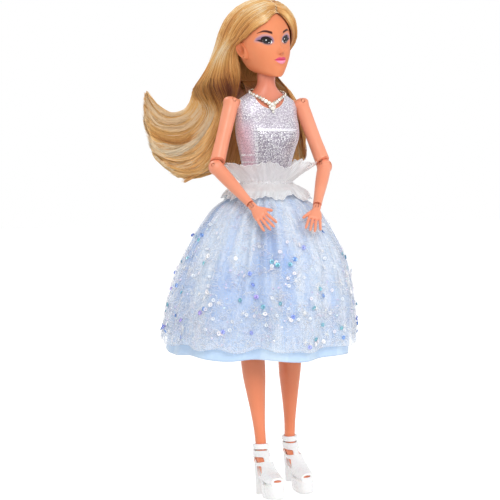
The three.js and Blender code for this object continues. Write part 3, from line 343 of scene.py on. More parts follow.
def object_places(tree):
    return node(tree, "ShaderNodeTexCoord").outputs["Object"]


def point_tint(tree):
    return node(tree, "ShaderNodeAttribute", attribute_name="tint").outputs["Color"]


def reckoned(tree, operation, *values):
    return node(tree, "ShaderNodeMath", dict(enumerate(values)), operation=operation).outputs[0]


def bumped(tree, shader, height, strength, distance):
    made = node(tree, "ShaderNodeBump", {"Height": height, "Strength": strength, "Distance": distance})
    tree.links.new(made.outputs[0], shader.inputs["Normal"])


# %% [markdown]
# ## Skin plastic
# The arms, legs and torso are hard tinted plastic with a low gloss, the head is softer vinyl. Real parts
# are never one flat colour: the tint drifts by a shade over a few millimetres and the mould leaves a fine
# grain that breaks up the gloss. Both come from noise in millimetre sizes.

# %% Skin materials
FLESH = {"Subsurface Scale": 0.003, "Subsurface Radius": (1.0, 0.35, 0.2)}


def skin(name, code, warm, roughness):
    made, tree, shader = material(name)
    where = object_places(tree)
    connect(tree, shader, {
        "Base Color": ramp(tree, noise(tree, where, 60, 3), (0.3, code), (0.7, warm)),
        "Roughness": ramp(tree, noise(tree, where, 240, 3), (0.25, roughness - 0.05), (0.75, roughness + 0.06)),
        "Specular IOR Level": 0.42, "Subsurface Weight": 0.06, **FLESH})
    bumped(tree, shader, noise(tree, where, 2600, 2), 0.12, 0.00006)
    return made


arm_plastic = skin("arm_plastic", "#f29d7c", "#ed9674", 0.36)  # injection-moulded ABS, pinker
leg_plastic = skin("leg_plastic", "#f49168", "#ee8a60", 0.38)  # softer PVC, warmer
# torso and neck: a slightly different tint of the same plastic, made darker all over as painted shade for the neck
# under the chin
shaded_torso_plastic = skin("shaded_torso_plastic", "#e18a6e", "#da8265", 0.36)


def peg_nylon():
    made, tree, shader = material("peg_nylon")  # moulded nylon, matt
    where = object_places(tree)
    connect(tree, shader, {
        "Base Color": ramp(tree, noise(tree, where, 300, 3), (0.3, "#ea9f7e"), (0.7, "#e39472")),
        "Roughness": ramp(tree, noise(tree, where, 900), (0.2, 0.45), (0.8, 0.6))})
    bumped(tree, shader, noise(tree, where, 2200), 0.15, 0.00005)
    return made


nylon = peg_nylon()
for name, carried in frame["nodes"].items():
    if name.endswith(("_peg", "_pin", "_knob")):
        carried.data.materials.clear()
        carried.data.materials.append(nylon)
print("materials", [made.name for made in bpy.data.materials][-6:])

# %% [markdown]
# ## Camera, floor and light
# The camera stands where the photographer stood: 20 degrees round towards the doll's right, a little above
# the waist, looking slightly down with a long lens. The floor is white paper that keeps a soft shadow, and
# the sky is white only for the rays that see it, so that the doll itself is lit at a plain level.

# %% Camera and studio
CAMERA_PLACE, CAMERA_DROP = [-255.6, -673.2, 35.0], math.radians(4.21)


def looking(place, heading):
    return Matrix.Translation(place) @ heading.to_track_quat("-Z", "Y").to_matrix().to_4x4()


heading = Vector((0.342, 0.940, 0.0)).normalized() * math.cos(CAMERA_DROP)
heading.z = -math.sin(CAMERA_DROP)
lens = bpy.data.cameras.new("camera")
lens.sensor_width = 36.0
lens.lens = 83.52
lens.clip_start = 0.05
camera = linked("camera", lens)
camera.matrix_world = looking(Vector(placed(CAMERA_PLACE)), heading)
bpy.context.scene.camera = camera
bpy.context.scene.view_settings.view_transform = "Standard"


def seen_rays(tree):
    rays = node(tree, "ShaderNodeLightPath").outputs
    seen = reckoned(tree, "ADD", rays["Is Camera Ray"], rays["Is Glossy Ray"])
    seen = reckoned(tree, "ADD", seen, rays["Is Transmission Ray"])
    return reckoned(tree, "MINIMUM", seen, 1.0)


def paper_floor():
    made, tree, shader = material("floor_paper")  # white background paper
    fibre = noise(tree, object_places(tree), 40, 4)
    connect(tree, shader, {
        "Base Color": ramp(tree, fibre, (0.3, "#efefef"), (0.7, "#f2f2f2")), "Roughness": 0.9,
        "Specular IOR Level": 0.1, "Emission Color": (1, 1, 1, 1),
        "Emission Strength": reckoned(tree, "MULTIPLY", seen_rays(tree), FLOOR_GLOW)})
    return made


AMBIENT, FLOOR_GLOW, FLOOR_HALF, FLOOR_DROP = 0.56, 0.55, 3, 0.0002
floor = linked("floor", mesh_from("floor", np.array(
    [[x * FLOOR_HALF, y * FLOOR_HALF, -FLOOR_DROP] for x, y in ((-1, -1), (1, -1), (1, 1), (-1, 1))]),
    [[0, 1, 2, 3]]))
floor.data.materials.append(paper_floor())

world = bpy.data.worlds.new("studio")
bpy.context.scene.world = world
world.use_nodes = True
sky = world.node_tree
connect(sky, sky.nodes["Background"], {
    "Color": (1, 1, 1, 1), "Strength": remapped(sky, seen_rays(sky), 0.0, 1.0, AMBIENT, 1.0)})


def softbox(name, place, power, size, aim=(0, 0, 10)):
    lamp = bpy.data.lights.new(name, "AREA")
    lamp.shape = "SQUARE"
    lamp.size = size
    lamp.energy = power
    place, aim = Vector(placed(place)), Vector(placed(aim))
    linked(name, lamp).matrix_world = looking(place, aim - place)


softbox("key_softbox", (-250, -900, 620), 5.6, 0.55)
softbox("fill_softbox", (620, -620, 260), 1.4, 0.6)
softbox("hair_softbox", (-350, 500, 700), 2.4, 0.35, (0, 0, 100))
print("camera at", camera.location, "with", len(bpy.data.lights), "lamps")

# %% [markdown]
# ## Torso
# The real torso is two moulded halves, front and back, joined along the sides. Its skin is a stack of
# ellipses whose half widths, half depths and shifts are read from one table at fine steps. Two soft
# lobes shape the bust. The shoulder and hip sockets, the leg openings and the neck slot are then cut.

# %% Torso skin
TORSO_BOTTOM, TORSO_HEIGHT, TORSO_HALF_WIDTH, TORSO_HALF_DEPTH = -15.0, 106.0, 20.0, 14.0
TORSO_ROWS = [
    [0, 0.3, 0.45, 0], [0.06, 0.78, 0.78, 0.05], [0.12, 0.96, 0.92, 0.1], [0.19, 1, 0.95, 0.1],
    [0.3, 0.82, 0.8, 0], [0.39, 0.69, 0.71, 0], [0.47, 0.74, 0.75, -0.02], [0.56, 0.85, 0.88, -0.1],
    [0.63, 0.945, 1, -0.17], [0.7, 0.96, 0.94, -0.11], [0.765, 0.93, 0.74, -0.02],
    [0.81, 0.93, 0.62, 0.02], [0.84, 0.86, 0.56, 0.05], [0.87, 0.66, 0.5, 0.06],
    [0.895, 0.45, 0.46, 0.05], [0.92, 0.33, 0.43, 0.04], [1, 0.28, 0.4, 0]]


def torso_sizes(z):
    """Half width, half depth and shift backwards of the torso at a height."""
    share = (np.asarray(z, float) - TORSO_BOTTOM) / TORSO_HEIGHT
    wide, deep, back = np.moveaxis(eased(TORSO_ROWS, share), -1, 0)
    return wide * TORSO_HALF_WIDTH, deep * TORSO_HALF_DEPTH, back * TORSO_HALF_DEPTH


def torso_skin(angle, z, out=0.0):
    """Points on the torso's skin at a turn (front is -90 degrees) and height, moved outwards."""
    angle, z, out = np.broadcast_arrays(np.asarray(angle, float), np.asarray(z, float), out)
    wide, deep, back = torso_sizes(z)
    lobes = bulge(np.cos(angle), 0.42, 0.27) + bulge(np.cos(angle), -0.42, 0.27)
    bust = 1.3 * lobes * bulge(z, 51.5, 6.5) * (np.sin(angle) < 0)
    bust = bust - 0.35 * bulge(np.cos(angle), 0, 0.16) * bulge(z, 52, 6) * (np.sin(angle) < 0)
    return np.stack([(wide + out) * np.cos(angle), back + (deep + out + bust) * np.sin(angle), z], axis=-1)


def torso_body(out, low, high, rows, sides=144):
    angle = circle(sides)
    heights = np.linspace(low, high, rows)
    return loft(torso_skin(angle[None, :], heights[:, None], out))


SHOULDER = {-1: np.array([-22.5, 0, 73.5]), 1: np.array([22.5, 0, 73.5])}
HIP = {-1: np.array([-13.0, 0, 0]), 1: np.array([13.0, 0, 0])}
FIT, SHOULDER_KNOB, HIP_KNOB, HIP_EYE, NECK_Z = 0.3, 5.0, 8, 4.35, 85


def torso_tools():
    tools = [rod(3.35, SHOULDER[-1], SHOULDER[1]), rod(HIP_EYE, HIP[-1], HIP[1]),
             rod(3.0, (-4, 0, NECK_Z), (4, 0, NECK_Z)), block((-2.6, -4, NECK_Z), (2.6, 4, 95))]
    for side in (-1, 1):
        tools.append(ball(SHOULDER_KNOB + FIT, *SHOULDER[side], sides=64))
        tools.append(ball(HIP_KNOB + FIT, *HIP[side], sides=64))
        wedge = np.array([[0, 0], [-20, 4], [-20, -18], [20, -18], [20, 4]], float)
        tools.append(loft([np.c_[np.full(5, x), wedge] for x in sorted((side * 3.4, side * 40))]))
    return [working(tool) for tool in tools]


torso = cut(working(torso_body(0, TORSO_BOTTOM, TORSO_BOTTOM + TORSO_HEIGHT, 150)), *torso_tools())
for name, (low, high) in {"torso_front": (-40, -0.1), "torso_back": (0.1, 40)}.items():
    half = working((np.zeros((0, 3)), None, None))
    half.data = torso.data.copy()
    cut(half, working(block((-60, low, -40), (60, high, 120))), operation="INTERSECT")
    finished(half, name + "_shell", shaded_torso_plastic, "torso", replaced=[name])
bpy.data.objects.remove(torso)

# %% [markdown]
# ## Poses of the limbs
# Each limb is drawn hanging straight down from its own joint and then carried into the pose by the same
# chain of turns as the frame's. Both elbows are bent and bring the hands to the front of the skirt.

# %% Limb chains
LEFTWARDS, UPWARDS, RIGHTWARDS = (1, 0, 0), (0, 0, 1), (-1, 0, 0)
POSE = {
    "right": dict(side=-1, swing=10, spread=17, twist=45, bend=54, wrist_turn=-83, wrist_bend=0,
                  hip_swing=9, hip_spread=1, knee=0),
    "left": dict(side=1, swing=12, spread=18, twist=53, bend=52, wrist_turn=45, wrist_bend=0,
                 hip_swing=0, hip_spread=3, knee=0)}
UPPER_ARM, FOREARM, THIGH, SHIN, ANKLE_INSET = 42.5, 37.0, 68.0, 68.0, 4.0


def arm_chain(side, swing, spread, twist, bend, wrist_turn, wrist_bend, **rest):
    upper = shifted(*SHOULDER[side]) @ turned(RIGHTWARDS, swing) @ turned((0, 1, 0), -side * spread)
    fore = upper @ shifted(z=-UPPER_ARM) @ turned(UPWARDS, -side * twist) @ turned(RIGHTWARDS, bend)
    hand = fore @ shifted(z=-FOREARM) @ turned(UPWARDS, wrist_turn) @ turned(RIGHTWARDS, wrist_bend)
    return upper, fore, hand


def leg_chain(side, hip_swing, hip_spread, knee, **rest):
    thigh = shifted(*HIP[side]) @ turned(RIGHTWARDS, hip_swing) @ turned((0, 1, 0), -side * hip_spread)
    shin = thigh @ shifted(z=-THIGH) @ turned(LEFTWARDS, knee)
    return thigh, shin, shin @ shifted(-side * ANKLE_INSET, 0, -SHIN)


# %% [markdown]
# ## Arms and thighs
# One recipe draws every limb that starts in a ball and ends in a cup for the next joint: rings run down
# the ball and the limb, round a small lip and up into the cup. The cup's rim is slanted at the elbow and
# the knee, which lets the joint close further on one side. Slots for the pegs are cut afterwards.

# %% Limb maker
def cupped_limb(rows, length, radius, knob, middle, slant, cup, sides=56, lip=0.35, inset=0.0):
    """`knob` is the ball's radius, `middle` the rim's height above the next joint, `slant` its slope."""
    rows = [list(row) + [0] * (4 - len(row)) for row in rows]
    cap = knob * np.cos(np.linspace(0.1, 1.35, 16))
    end = middle - length
    heights = np.concatenate([cap, np.linspace(cap[-1], end + lip, 84)[1:]])
    wide, deep, back = np.moveaxis(eased(rows, -heights / length), -1, 0)
    ball_half = np.sqrt(np.maximum(knob**2 - heights**2, 0))
    limb_share = smooth_step(knob * 0.45, -knob * 0.1, heights)
    rx, ry = ((ball_half**8 + (limb_share * half * radius) ** 8) ** 0.125 for half in (wide, deep))
    tilt = slant * smooth_step(end + 14, end + 4, heights)
    rings = []
    for z, half_x, half_y, shift, slope in zip(heights, rx, ry, back * radius, tilt):
        ring = ellipse(sides, inset * -z / length, shift, z, half_x, half_y)
        ring[:, 2] += slope * ring[:, 1]
        rings.append(ring)
    last = rings[-1]
    normal = np.array([0, -slant, 1.0]) / math.hypot(slant, 1)
    centre = last.mean(0)
    for inward, down in ((0.1, 0.22), (0.3, 0.34), (0.55, lip)):
        shrunk = centre + (last - centre) * (1 - inward * lip / rx[-1])
        rings.append(shrunk - normal * down)
    joint = np.array([inset, 0, -length])
    apart = (np.array([0, 0, end]) - [0, 0, -length]) @ normal
    e1, e2 = np.array([1.0, 0, 0]), np.cross(normal, [1.0, 0, 0])
    angle = circle(sides)
    around = np.cos(angle)[:, None] * e1 + np.sin(angle)[:, None] * e2
    for turn in np.linspace(math.acos(np.clip(apart / cup, -1, 1)), 0.08, 14):
        rings.append(joint + normal * cup * math.cos(turn) + cup * math.sin(turn) * around)
    return loft(rings)


def tongue_slot(half, eye, knob, front):
    """The slot in a ball in which a peg's tongue swings from straight up towards the front or back."""
    low, high = sorted((-eye * front, (knob + 1) * front))
    return [rod(eye, (-half, 0, 0), (half, 0, 0)), block((-half, low, -eye), (half, high, knob + 1))]


UPPER_ARM_ROWS = [[0, 0.98, 1.1], [0.15, 1, 1.06], [0.35, 0.97, 1], [0.6, 0.94, 0.96], [0.8, 0.98, 1],
                  [1.2, 1.02, 1.04]]
FOREARM_ROWS = [[0, 0.95, 0.98], [0.12, 1.02, 1.06], [0.3, 1, 1.02], [0.5, 0.9, 0.92], [0.7, 0.78, 0.77],
                [0.88, 0.7, 0.66], [1.2, 0.66, 0.62]]
THIGH_ROWS = [[0, 0.76, 0.78], [0.04, 0.82, 0.84], [0.1, 0.93, 0.95], [0.2, 1, 1], [0.4, 0.97, 0.97],
              [0.6, 0.88, 0.9], [0.8, 0.78, 0.82], [1, 0.74, 0.8]]
ELBOW_KNOB, KNEE_PIN = 4.7, 1.5

for label, pose in POSE.items():
    side = pose["side"]
    upper, fore, hand = arm_chain(**pose)
    thigh, shin, _ = leg_chain(**pose)
    shape, quads, tris = cupped_limb(UPPER_ARM_ROWS, UPPER_ARM, 4.6, SHOULDER_KNOB, 3.1, -0.5, 5.0)
    shape[:, 2] = np.where(shape[:, 2] > 0, shape[:, 2] * 0.5, shape[:, 2])  # a flat shoulder cap
    piece = working((shape, quads, tris))
    inner, outer = sorted((side * -7, side * 3.0))
    cut(piece, working(rod(3.0, (0, -1.8, 0), (0, 1.8, 0))), working(block((inner, -1.8, -3), (outer, 1.8, 7))),
        working(rod(1.3, (0, -7, 0), (0, 7, 0))), working(rod(1.8, (0, 0, -UPPER_ARM), (0, 0, 13.3 - UPPER_ARM))))
    finished(piece, label + "_upper_arm_skin", arm_plastic, label + "_upper_arm", upper, [label + "_upper_arm"])

    piece = working(cupped_limb(FOREARM_ROWS, FOREARM, 4, ELBOW_KNOB, 2.3, 0, 2.95, lip=0.25))
    cut(piece, *[working(tool) for tool in tongue_slot(1.5, 2.85, ELBOW_KNOB, -1)],
        working(rod(1.2, (-6, 0, 0), (6, 0, 0))), working(rod(1.2, (0, 0, -FOREARM), (0, 0, 9.2 - FOREARM))))
    finished(piece, label + "_forearm_skin", arm_plastic, label + "_forearm", fore, [label + "_forearm"])

    piece = working(cupped_limb(THIGH_ROWS, THIGH, 8.8, HIP_KNOB, 4.2, 0.386, 7.4, sides=72))
    inner, outer = sorted((side * -9, side * HIP_EYE))
    cut(piece, working(rod(HIP_EYE, (0, -2.5, 0), (0, 2.5, 0))),
        working(block((inner, -2.5, -4.3), (outer, 2.5, 9))), working(rod(1.65, (0, -18, 0), (0, 18, 0))))
    cut(piece, working(rod(4, (-1.8, 0, -THIGH), (1.8, 0, -THIGH))),
        working(block((-1.8, -4, -THIGH), (1.8, 4, 8.5 - THIGH))), operation="UNION")
    cut(piece, working(rod(KNEE_PIN, (-3, 0, -THIGH), (3, 0, -THIGH))))
    finished(piece, label + "_thigh_skin", leg_plastic, label + "_thigh", thigh, [label + "_thigh"])

# %% [markdown]
# ## Hands
# A hand is drawn as a wrist ball, a palm, four fingers with slightly thicker knuckles and a thumb that
# stands off the palm. They overlap freely, and one voxel remesh melts them into one moulded skin. Small
# nails stand proud of the backs of the fingers, and the knuckles are soft swellings.

# %% Hand maker
PALM_ROWS = [[0, 0.5, 1.25], [0.22, 0.6, 1.2], [0.5, 0.88, 1.12], [0.8, 1, 1], [1, 0.96, 0.85], [1.08, 0.6, 0.5]]
FINGER_ROWS = [[0, 1, 1.05], [0.2, 0.96, 1.0], [0.42, 1.02, 1.06], [0.55, 0.9, 0.92], [0.72, 0.93, 0.94],
               [0.88, 0.84, 0.8], [0.96, 0.6, 0.56], [1, 0.2, 0.2]]
WRIST_KNOB, PALM, FINGER, FINGER_HALF = 2.6, 9.5, 11.5, 0.95
FINGERS = ((0.92, -0.1, 0.05), (1.02, -0.02, 0.03), (1, 0.05, 0.05), (0.8, 0.2, 0.08))  # length, splay, bend


def digit(length, radius, matrix, bend=0.0):
    levels = np.linspace(0, 1, 26)
    wide, deep = np.moveaxis(eased(FINGER_ROWS, levels), -1, 0)
    rings = []
    for share, half_x, half_y in zip(levels, wide, deep):
        curl = bend * share**2 * length
        rings.append(ellipse(16, 0, curl, -share * length, half_x * radius, half_y * radius))
    nail_turn = np.linspace(0.15, np.pi - 0.15, 7)
    nail = loft([ellipse(12, 0, bend * 0.72 * length - radius * 0.62, -length * 0.86 + 0.95 * math.cos(t),
                         0.6 * radius * math.sin(t), 0.42 * radius * math.sin(t)) for t in nail_turn[::-1]])
    return [working((p @ matrix[:3, :3].T + matrix[:3, 3], q, t)) for p, q, t in (loft(rings), nail)]


def hand_shape(side):
    whole = working(ball(WRIST_KNOB, sides=32))
    levels = np.linspace(0, 1.08, 28)
    wide, deep = np.moveaxis(eased(PALM_ROWS, levels), -1, 0)
    parts = [working(loft([ellipse(36, 0, 0, -t * PALM, w * 4.1, d * 1.5)
                           for t, w, d in zip(levels, wide, deep)]))]
    for place, (share, splay, bend) in enumerate(FINGERS):
        x = (place - 1.5) * 2.02 * side
        matrix = shifted(x, 0, -PALM * 0.9) @ turned((0, 1, 0), -math.degrees(splay) * side)
        parts += digit(FINGER * share, FINGER_HALF, matrix, bend)
        parts.append(working(ball(FINGER_HALF, x, -0.45, -9.2, sides=16)))
    matrix = shifted(-side * 2.05, 0, -3.8) @ turned((0, 1, 0), 34 * side)
    parts += digit(9, 1.08, matrix, 0.04)
    bpy.context.view_layer.update()
    cut(whole, *parts, operation="UNION")
    melt(whole, 0.2, 5)
    slots = [tool for front in (1, -1) for tool in tongue_slot(0.95, 1.8, WRIST_KNOB, front)]
    return cut(whole, *[working(slot) for slot in slots], working(rod(0.72, (-4, 0, 0), (4, 0, 0))))


for label, pose in POSE.items():
    finished(hand_shape(pose["side"]), label + "_hand_skin", arm_plastic, label + "_hand",
             arm_chain(**pose)[2], [label + "_hand"])

# %% [markdown]
# ## Shins and feet
# The foot stands on its toes for a high heel. Its path runs down from the ankle and forwards to the
# toes, and rings stand across that path. The shin, the heel and five small toes are melted together.

# %% Shin and foot maker
SHIN_ROWS = [[0, 0.92, 0.94, 0], [0.12, 0.95, 0.96, 0.03], [0.26, 1, 1.04, 0.1], [0.4, 0.94, 1, 0.12],
             [0.55, 0.78, 0.84, 0.08], [0.7, 0.62, 0.66, 0.03], [0.85, 0.49, 0.52, 0], [1, 0.44, 0.47, 0]]
FOOT_ROUTE = [[0, -0.1, 0.74, 0.78], [0, 0.1, 0.73, 0.8], [0.03, 0.28, 0.76, 1], [0.16, 0.52, 0.84, 1.1],
              [0.42, 0.78, 0.93, 0.82], [0.68, 0.92, 1, 0.55], [0.88, 0.97, 0.93, 0.42], [1, 0.99, 0.62, 0.3]]
FOOT_LENGTH, FOOT_DROP, FOOT_HALF, SHIN_HALF, KNEE_KNOB = 25.0, 21.0, 4.4, 7.3, 7
TOES = ((-3.1, 1.15), (-1.45, 0.8), (0, 0.75), (1.35, 0.7), (2.5, 0.65))  # place across, radius


def foot_shape(grown=0.0, sides=40, levels=60):
    table = np.c_[np.arange(len(FOOT_ROUTE)), np.array(FOOT_ROUTE)]
    ahead, down, wide, deep = np.moveaxis(eased(table, np.linspace(0, len(table) - 1, levels)), -1, 0)
    path = np.stack([np.zeros(levels), -ahead * FOOT_LENGTH, -down * FOOT_DROP], axis=-1)
    heading = np.gradient(path, axis=0)
    heading /= np.linalg.norm(heading, axis=1)[:, None]
    normal = np.stack([np.zeros(levels), -heading[:, 2], heading[:, 1]], axis=-1)
    path[-1] += heading[-1] * grown
    angle = circle(sides)
    return loft([centre + (w * FOOT_HALF + grown) * np.cos(angle)[:, None] * [1.0, 0, 0]
                 + (d * FOOT_HALF + grown) * np.sin(angle)[:, None] * across
                 for centre, across, w, d in zip(path, normal, wide, deep)])


def shin_shape(side):
    levels = np.linspace(0.02, 1, 80)
    wide, deep, back = np.moveaxis(eased(SHIN_ROWS, levels), -1, 0)
    shaft = working(loft([ellipse(64, -side * ANKLE_INSET * t, b * SHIN_HALF, -t * SHIN, w * SHIN_HALF, d * SHIN_HALF)
                          for t, w, d, b in zip(levels, wide, deep, back)]))
    foot = foot_shape()
    moved = shifted(-side * ANKLE_INSET, 0, -SHIN)
    parts = [working(ball(KNEE_KNOB, sides=64)), working((foot[0] + moved[:3, 3], *foot[1:])),
             working(ball(3.7, -side * ANKLE_INSET, 2.6, -SHIN - 10))]
    for toe, (x, radius) in enumerate(TOES):
        parts.append(working(ball(radius, -side * ANKLE_INSET + side * x, -25.2 + 0.28 * toe, -SHIN - 20.9,
                                  sides=16)))
    cut(shaft, *parts, operation="UNION")
    melt(shaft, 0.42, 3)
    slot = tongue_slot(2.1, 4.35, KNEE_KNOB, 1)
    return cut(shaft, *[working(tool) for tool in slot], working(rod(KNEE_PIN, (-9, 0, 0), (9, 0, 0))))


for label, pose in POSE.items():
    finished(shin_shape(pose["side"]), label + "_shin_skin", leg_plastic, label + "_shin",
             leg_chain(**pose)[1], [label + "_shin"])

# %% [markdown]
# ## Node trees for what repeats
# Beads, sequins and stitches are one small template set on many points. Threads and hairs are thin tubes
# along many lines. Each is a Geometry Nodes tree with named inputs. The points and lines carry their own
# aim, size and tint as attributes, and the trees end in Realize Instances and Set Material.

# %% Geometry Nodes trees
def tree_with(name, *sockets):
    tree = bpy.data.node_groups.new(name, "GeometryNodeTree")
    tree.interface.new_socket("Geometry", in_out="INPUT", socket_type="NodeSocketGeometry")
    for label, kind, value in sockets:
        socket = tree.interface.new_socket(label, in_out="INPUT", socket_type=kind)
        if value is not None:
            socket.default_value = value
    tree.interface.new_socket("Geometry", in_out="OUTPUT", socket_type="NodeSocketGeometry")
    return tree, tree.nodes.new("NodeGroupInput"), tree.nodes.new("NodeGroupOutput")


def named(tree, name, kind="FLOAT"):
    return node(tree, "GeometryNodeInputNamedAttribute", {"Name": name}, data_type=kind).outputs[0]


def scatter_tree():
    tree, given, made = tree_with(
        "set_on_points", ("Template", "NodeSocketObject", None), ("Size", "NodeSocketFloat", 1.0),
        ("Size Spread", "NodeSocketFloat", 0.0), ("Seed", "NodeSocketInt", 1), ("Finish", "NodeSocketMaterial", None))
    template = node(tree, "GeometryNodeObjectInfo", {"Object": given.outputs["Template"]})
    aim = node(tree, "FunctionNodeAlignRotationToVector", {"Vector": named(tree, "aim", "FLOAT_VECTOR")})
    spin = node(tree, "FunctionNodeAxisAngleToRotation", {
        "Axis": (0, 0, 1), "Angle": node(tree, "FunctionNodeRandomValue", {
            "Min": 0.0, "Max": 6.283, "Seed": given.outputs["Seed"]}, data_type="FLOAT").outputs[1]})
    facing = node(tree, "FunctionNodeRotateRotation", {
        "Rotation": aim.outputs[0], "Rotate By": spin.outputs[0]}, rotation_space="LOCAL")
    low = reckoned(tree, "SUBTRACT", 1.0, given.outputs["Size Spread"])
    high = reckoned(tree, "ADD", 1.0, given.outputs["Size Spread"])
    spread = node(tree, "FunctionNodeRandomValue", {
        "Min": low, "Max": high, "Seed": given.outputs["Seed"]}, data_type="FLOAT").outputs[1]
    size = reckoned(tree, "MULTIPLY", reckoned(tree, "MULTIPLY", spread, given.outputs["Size"]), named(tree, "size"))
    points = node(tree, "GeometryNodeMeshToPoints", {"Mesh": given.outputs["Geometry"]})
    copies = node(tree, "GeometryNodeInstanceOnPoints", {
        "Points": points.outputs[0], "Instance": template.outputs["Geometry"],
        "Rotation": facing.outputs[0], "Scale": size})
    real = node(tree, "GeometryNodeRealizeInstances", {"Geometry": copies.outputs[0]})
    coat = node(tree, "GeometryNodeSetMaterial", {"Geometry": real.outputs[0], "Material": given.outputs["Finish"]})
    tree.links.new(coat.outputs[0], made.inputs[0])
    return tree


def thread_tree():
    tree, given, made = tree_with(
        "threads_on_lines", ("Radius", "NodeSocketFloat", 0.0001), ("Sides", "NodeSocketInt", 3),
        ("Finish", "NodeSocketMaterial", None))
    lines = node(tree, "GeometryNodeMeshToCurve", {"Mesh": given.outputs["Geometry"]})
    size = reckoned(tree, "MULTIPLY", given.outputs["Radius"], named(tree, "size"))
    section = node(tree, "GeometryNodeCurvePrimitiveCircle", {"Resolution": given.outputs["Sides"], "Radius": 1.0})
    thick = node(tree, "GeometryNodeSetCurveRadius", {"Curve": lines.outputs[0], "Radius": size})
    skin_of = node(tree, "GeometryNodeCurveToMesh", {
        "Curve": thick.outputs[0], "Profile Curve": section.outputs[0], "Fill Caps": True})
    if "Scale" in skin_of.inputs:
        tree.links.new(size, skin_of.inputs["Scale"])
    real = node(tree, "GeometryNodeRealizeInstances", {"Geometry": skin_of.outputs[0]})
    coat = node(tree, "GeometryNodeSetMaterial", {"Geometry": real.outputs[0], "Material": given.outputs["Finish"]})
    tree.links.new(coat.outputs[0], made.inputs[0])
    return tree


scatter, threads = scatter_tree(), thread_tree()


def grown(carrier, tree, inputs):
    """Runs a tree on a carrier mesh with inputs given by name and settles it into a plain mesh."""
    step = carrier.modifiers.new(tree.name, "NODES")
    step.node_group = tree
    sockets = {item.name: item.identifier for item in tree.interface.items_tree if item.in_out == "INPUT"}
    for label, value in inputs.items():
        step[sockets[label]] = value
    settle(carrier)
    return carrier


def attributed(mesh, **values):
    for label, data in values.items():
        data = np.asarray(data, np.float32)
        kind = {1: "FLOAT", 2: "FLOAT_VECTOR"}[data.ndim] if data.ndim < 2 or data.shape[1] == 3 else "FLOAT_COLOR"
        field = {"FLOAT": "value", "FLOAT_VECTOR": "vector", "FLOAT_COLOR": "color"}[kind]
        mesh.attributes.new(label, kind, "POINT").data.foreach_set(field, data.ravel())


def on_points(name, points, aims, sizes, template, finish, tints=None, spread=0.0, seed=1, smooth=True):
    mesh = mesh_from(name, placed(points))
    attributed(mesh, aim=aims, size=sizes)
    if tints is not None:
        attributed(mesh, tint=tints)
    piece = linked(name, mesh)
    grown(piece, scatter, {"Template": template, "Size": 1.0, "Size Spread": spread, "Seed": seed, "Finish": finish})
    bpy.data.objects.remove(template)
    piece.data.polygons.foreach_set("use_smooth", np.full(len(piece.data.polygons), smooth))
    print(name, len(points), "copies,", len(piece.data.polygons), "faces")
    return piece


def on_lines(name, lines, radius, finish, sizes=None, tints=None, sides=3):
    """`lines` is an array of (lines, points, 3) in millimetres."""
    lines = np.asarray(lines, float)
    count, steps = lines.shape[:2]
    mesh = bpy.data.meshes.new(name)
    mesh.vertices.add(count * steps)
    mesh.vertices.foreach_set("co", placed(lines.reshape(-1, 3)).astype(np.float32).ravel())
    start = (np.arange(count)[:, None] * steps + np.arange(steps - 1)).ravel()
    mesh.edges.add(len(start))
    mesh.edges.foreach_set("vertices", np.stack([start, start + 1], axis=-1).astype(np.int32).ravel())
    attributed(mesh, size=np.ones(count * steps) if sizes is None else np.asarray(sizes).ravel())
    if tints is not None:
        attributed(mesh, tint=np.asarray(tints).reshape(count * steps, 4))
    piece = linked(name, mesh)
    grown(piece, threads, {"Radius": radius * MM, "Sides": sides, "Finish": finish})
    piece.data.polygons.foreach_set("use_smooth", np.ones(len(piece.data.polygons), bool))
    print(name, count, "threads,", len(piece.data.polygons), "faces")
    return piece


# %% [markdown]
# ## Cloth rings
# Skirts, frills and bands are rings of cloth round the body. One maker takes the shape as a function of
# the turn and of the share from the top edge to the hem. It gives the cloth its real thickness along
# the normals, and unrolls a UV map in metres, so that weaves keep their scale on every fold.

# %% Cloth ring maker
def cloth_ring(name, shape, sides, rows, thickness, finish, unrolled):
    angle, share = circle(sides), np.linspace(0, 1, rows)
    outer = shape(angle[None, :], share[:, None])
    around = np.roll(outer, -1, axis=1) - np.roll(outer, 1, axis=1)
    normal = np.cross(around, np.gradient(outer, axis=0))
    normal /= np.linalg.norm(normal, axis=-1, keepdims=True) + 1e-12
    if (normal[..., :2] * outer[..., :2]).sum() < 0:
        normal = -normal
    rings = np.concatenate([outer, (outer - normal * thickness)[::-1]])
    count = rings.shape[0]
    quads = ring_quads(count, sides)
    down = np.concatenate([share, share[::-1]])
    u = np.broadcast_to(np.arange(sides)[None, :, None] + np.array([0, 1, 1, 0]), (count, sides, 4)) / sides
    v = np.broadcast_to(np.stack([down, down, np.roll(down, -1), np.roll(down, -1)], -1)[:, None, :],
                        (count, sides, 4))
    uv = np.stack([u * unrolled[0], v * unrolled[1]], axis=-1).reshape(-1, 4, 2) * MM
    points, faced, _ = outward(rings.reshape(-1, 3), quads, NO_TRIS)
    if faced[0, 0] != quads[0, 0]:
        uv = uv[:, ::-1]
    mesh = mesh_from(name, placed(points), faced)
    mesh.uv_layers.new(name="cloth").data.foreach_set("uv", uv.astype(np.float32).ravel())
    mesh.materials.append(finish)
    print(name, len(faced), "faces")
    return linked(name, mesh)


def cloth_uv(tree):
    return node(tree, "ShaderNodeUVMap", uv_map="cloth").outputs[0]


# %% [markdown]
# ## Lame cloth
# The bodice is a thin knit printed with rows of tiny foil dots. Each dot is a small mirror, so the cloth
# sparkles and its colour shifts between silver, lilac and pink. A near-regular Voronoi pattern with
# 0.9 mm cells gives the dots. A front panel has a darker ground, with a white tape along its top.

# %% Lame material
def between(tree, value, low, high, soft):
    """1 between two values and 0 outside them, with soft ends."""
    return reckoned(tree, "MULTIPLY", remapped(tree, value, low - soft, low + soft),
                    remapped(tree, value, high + soft, high - soft))


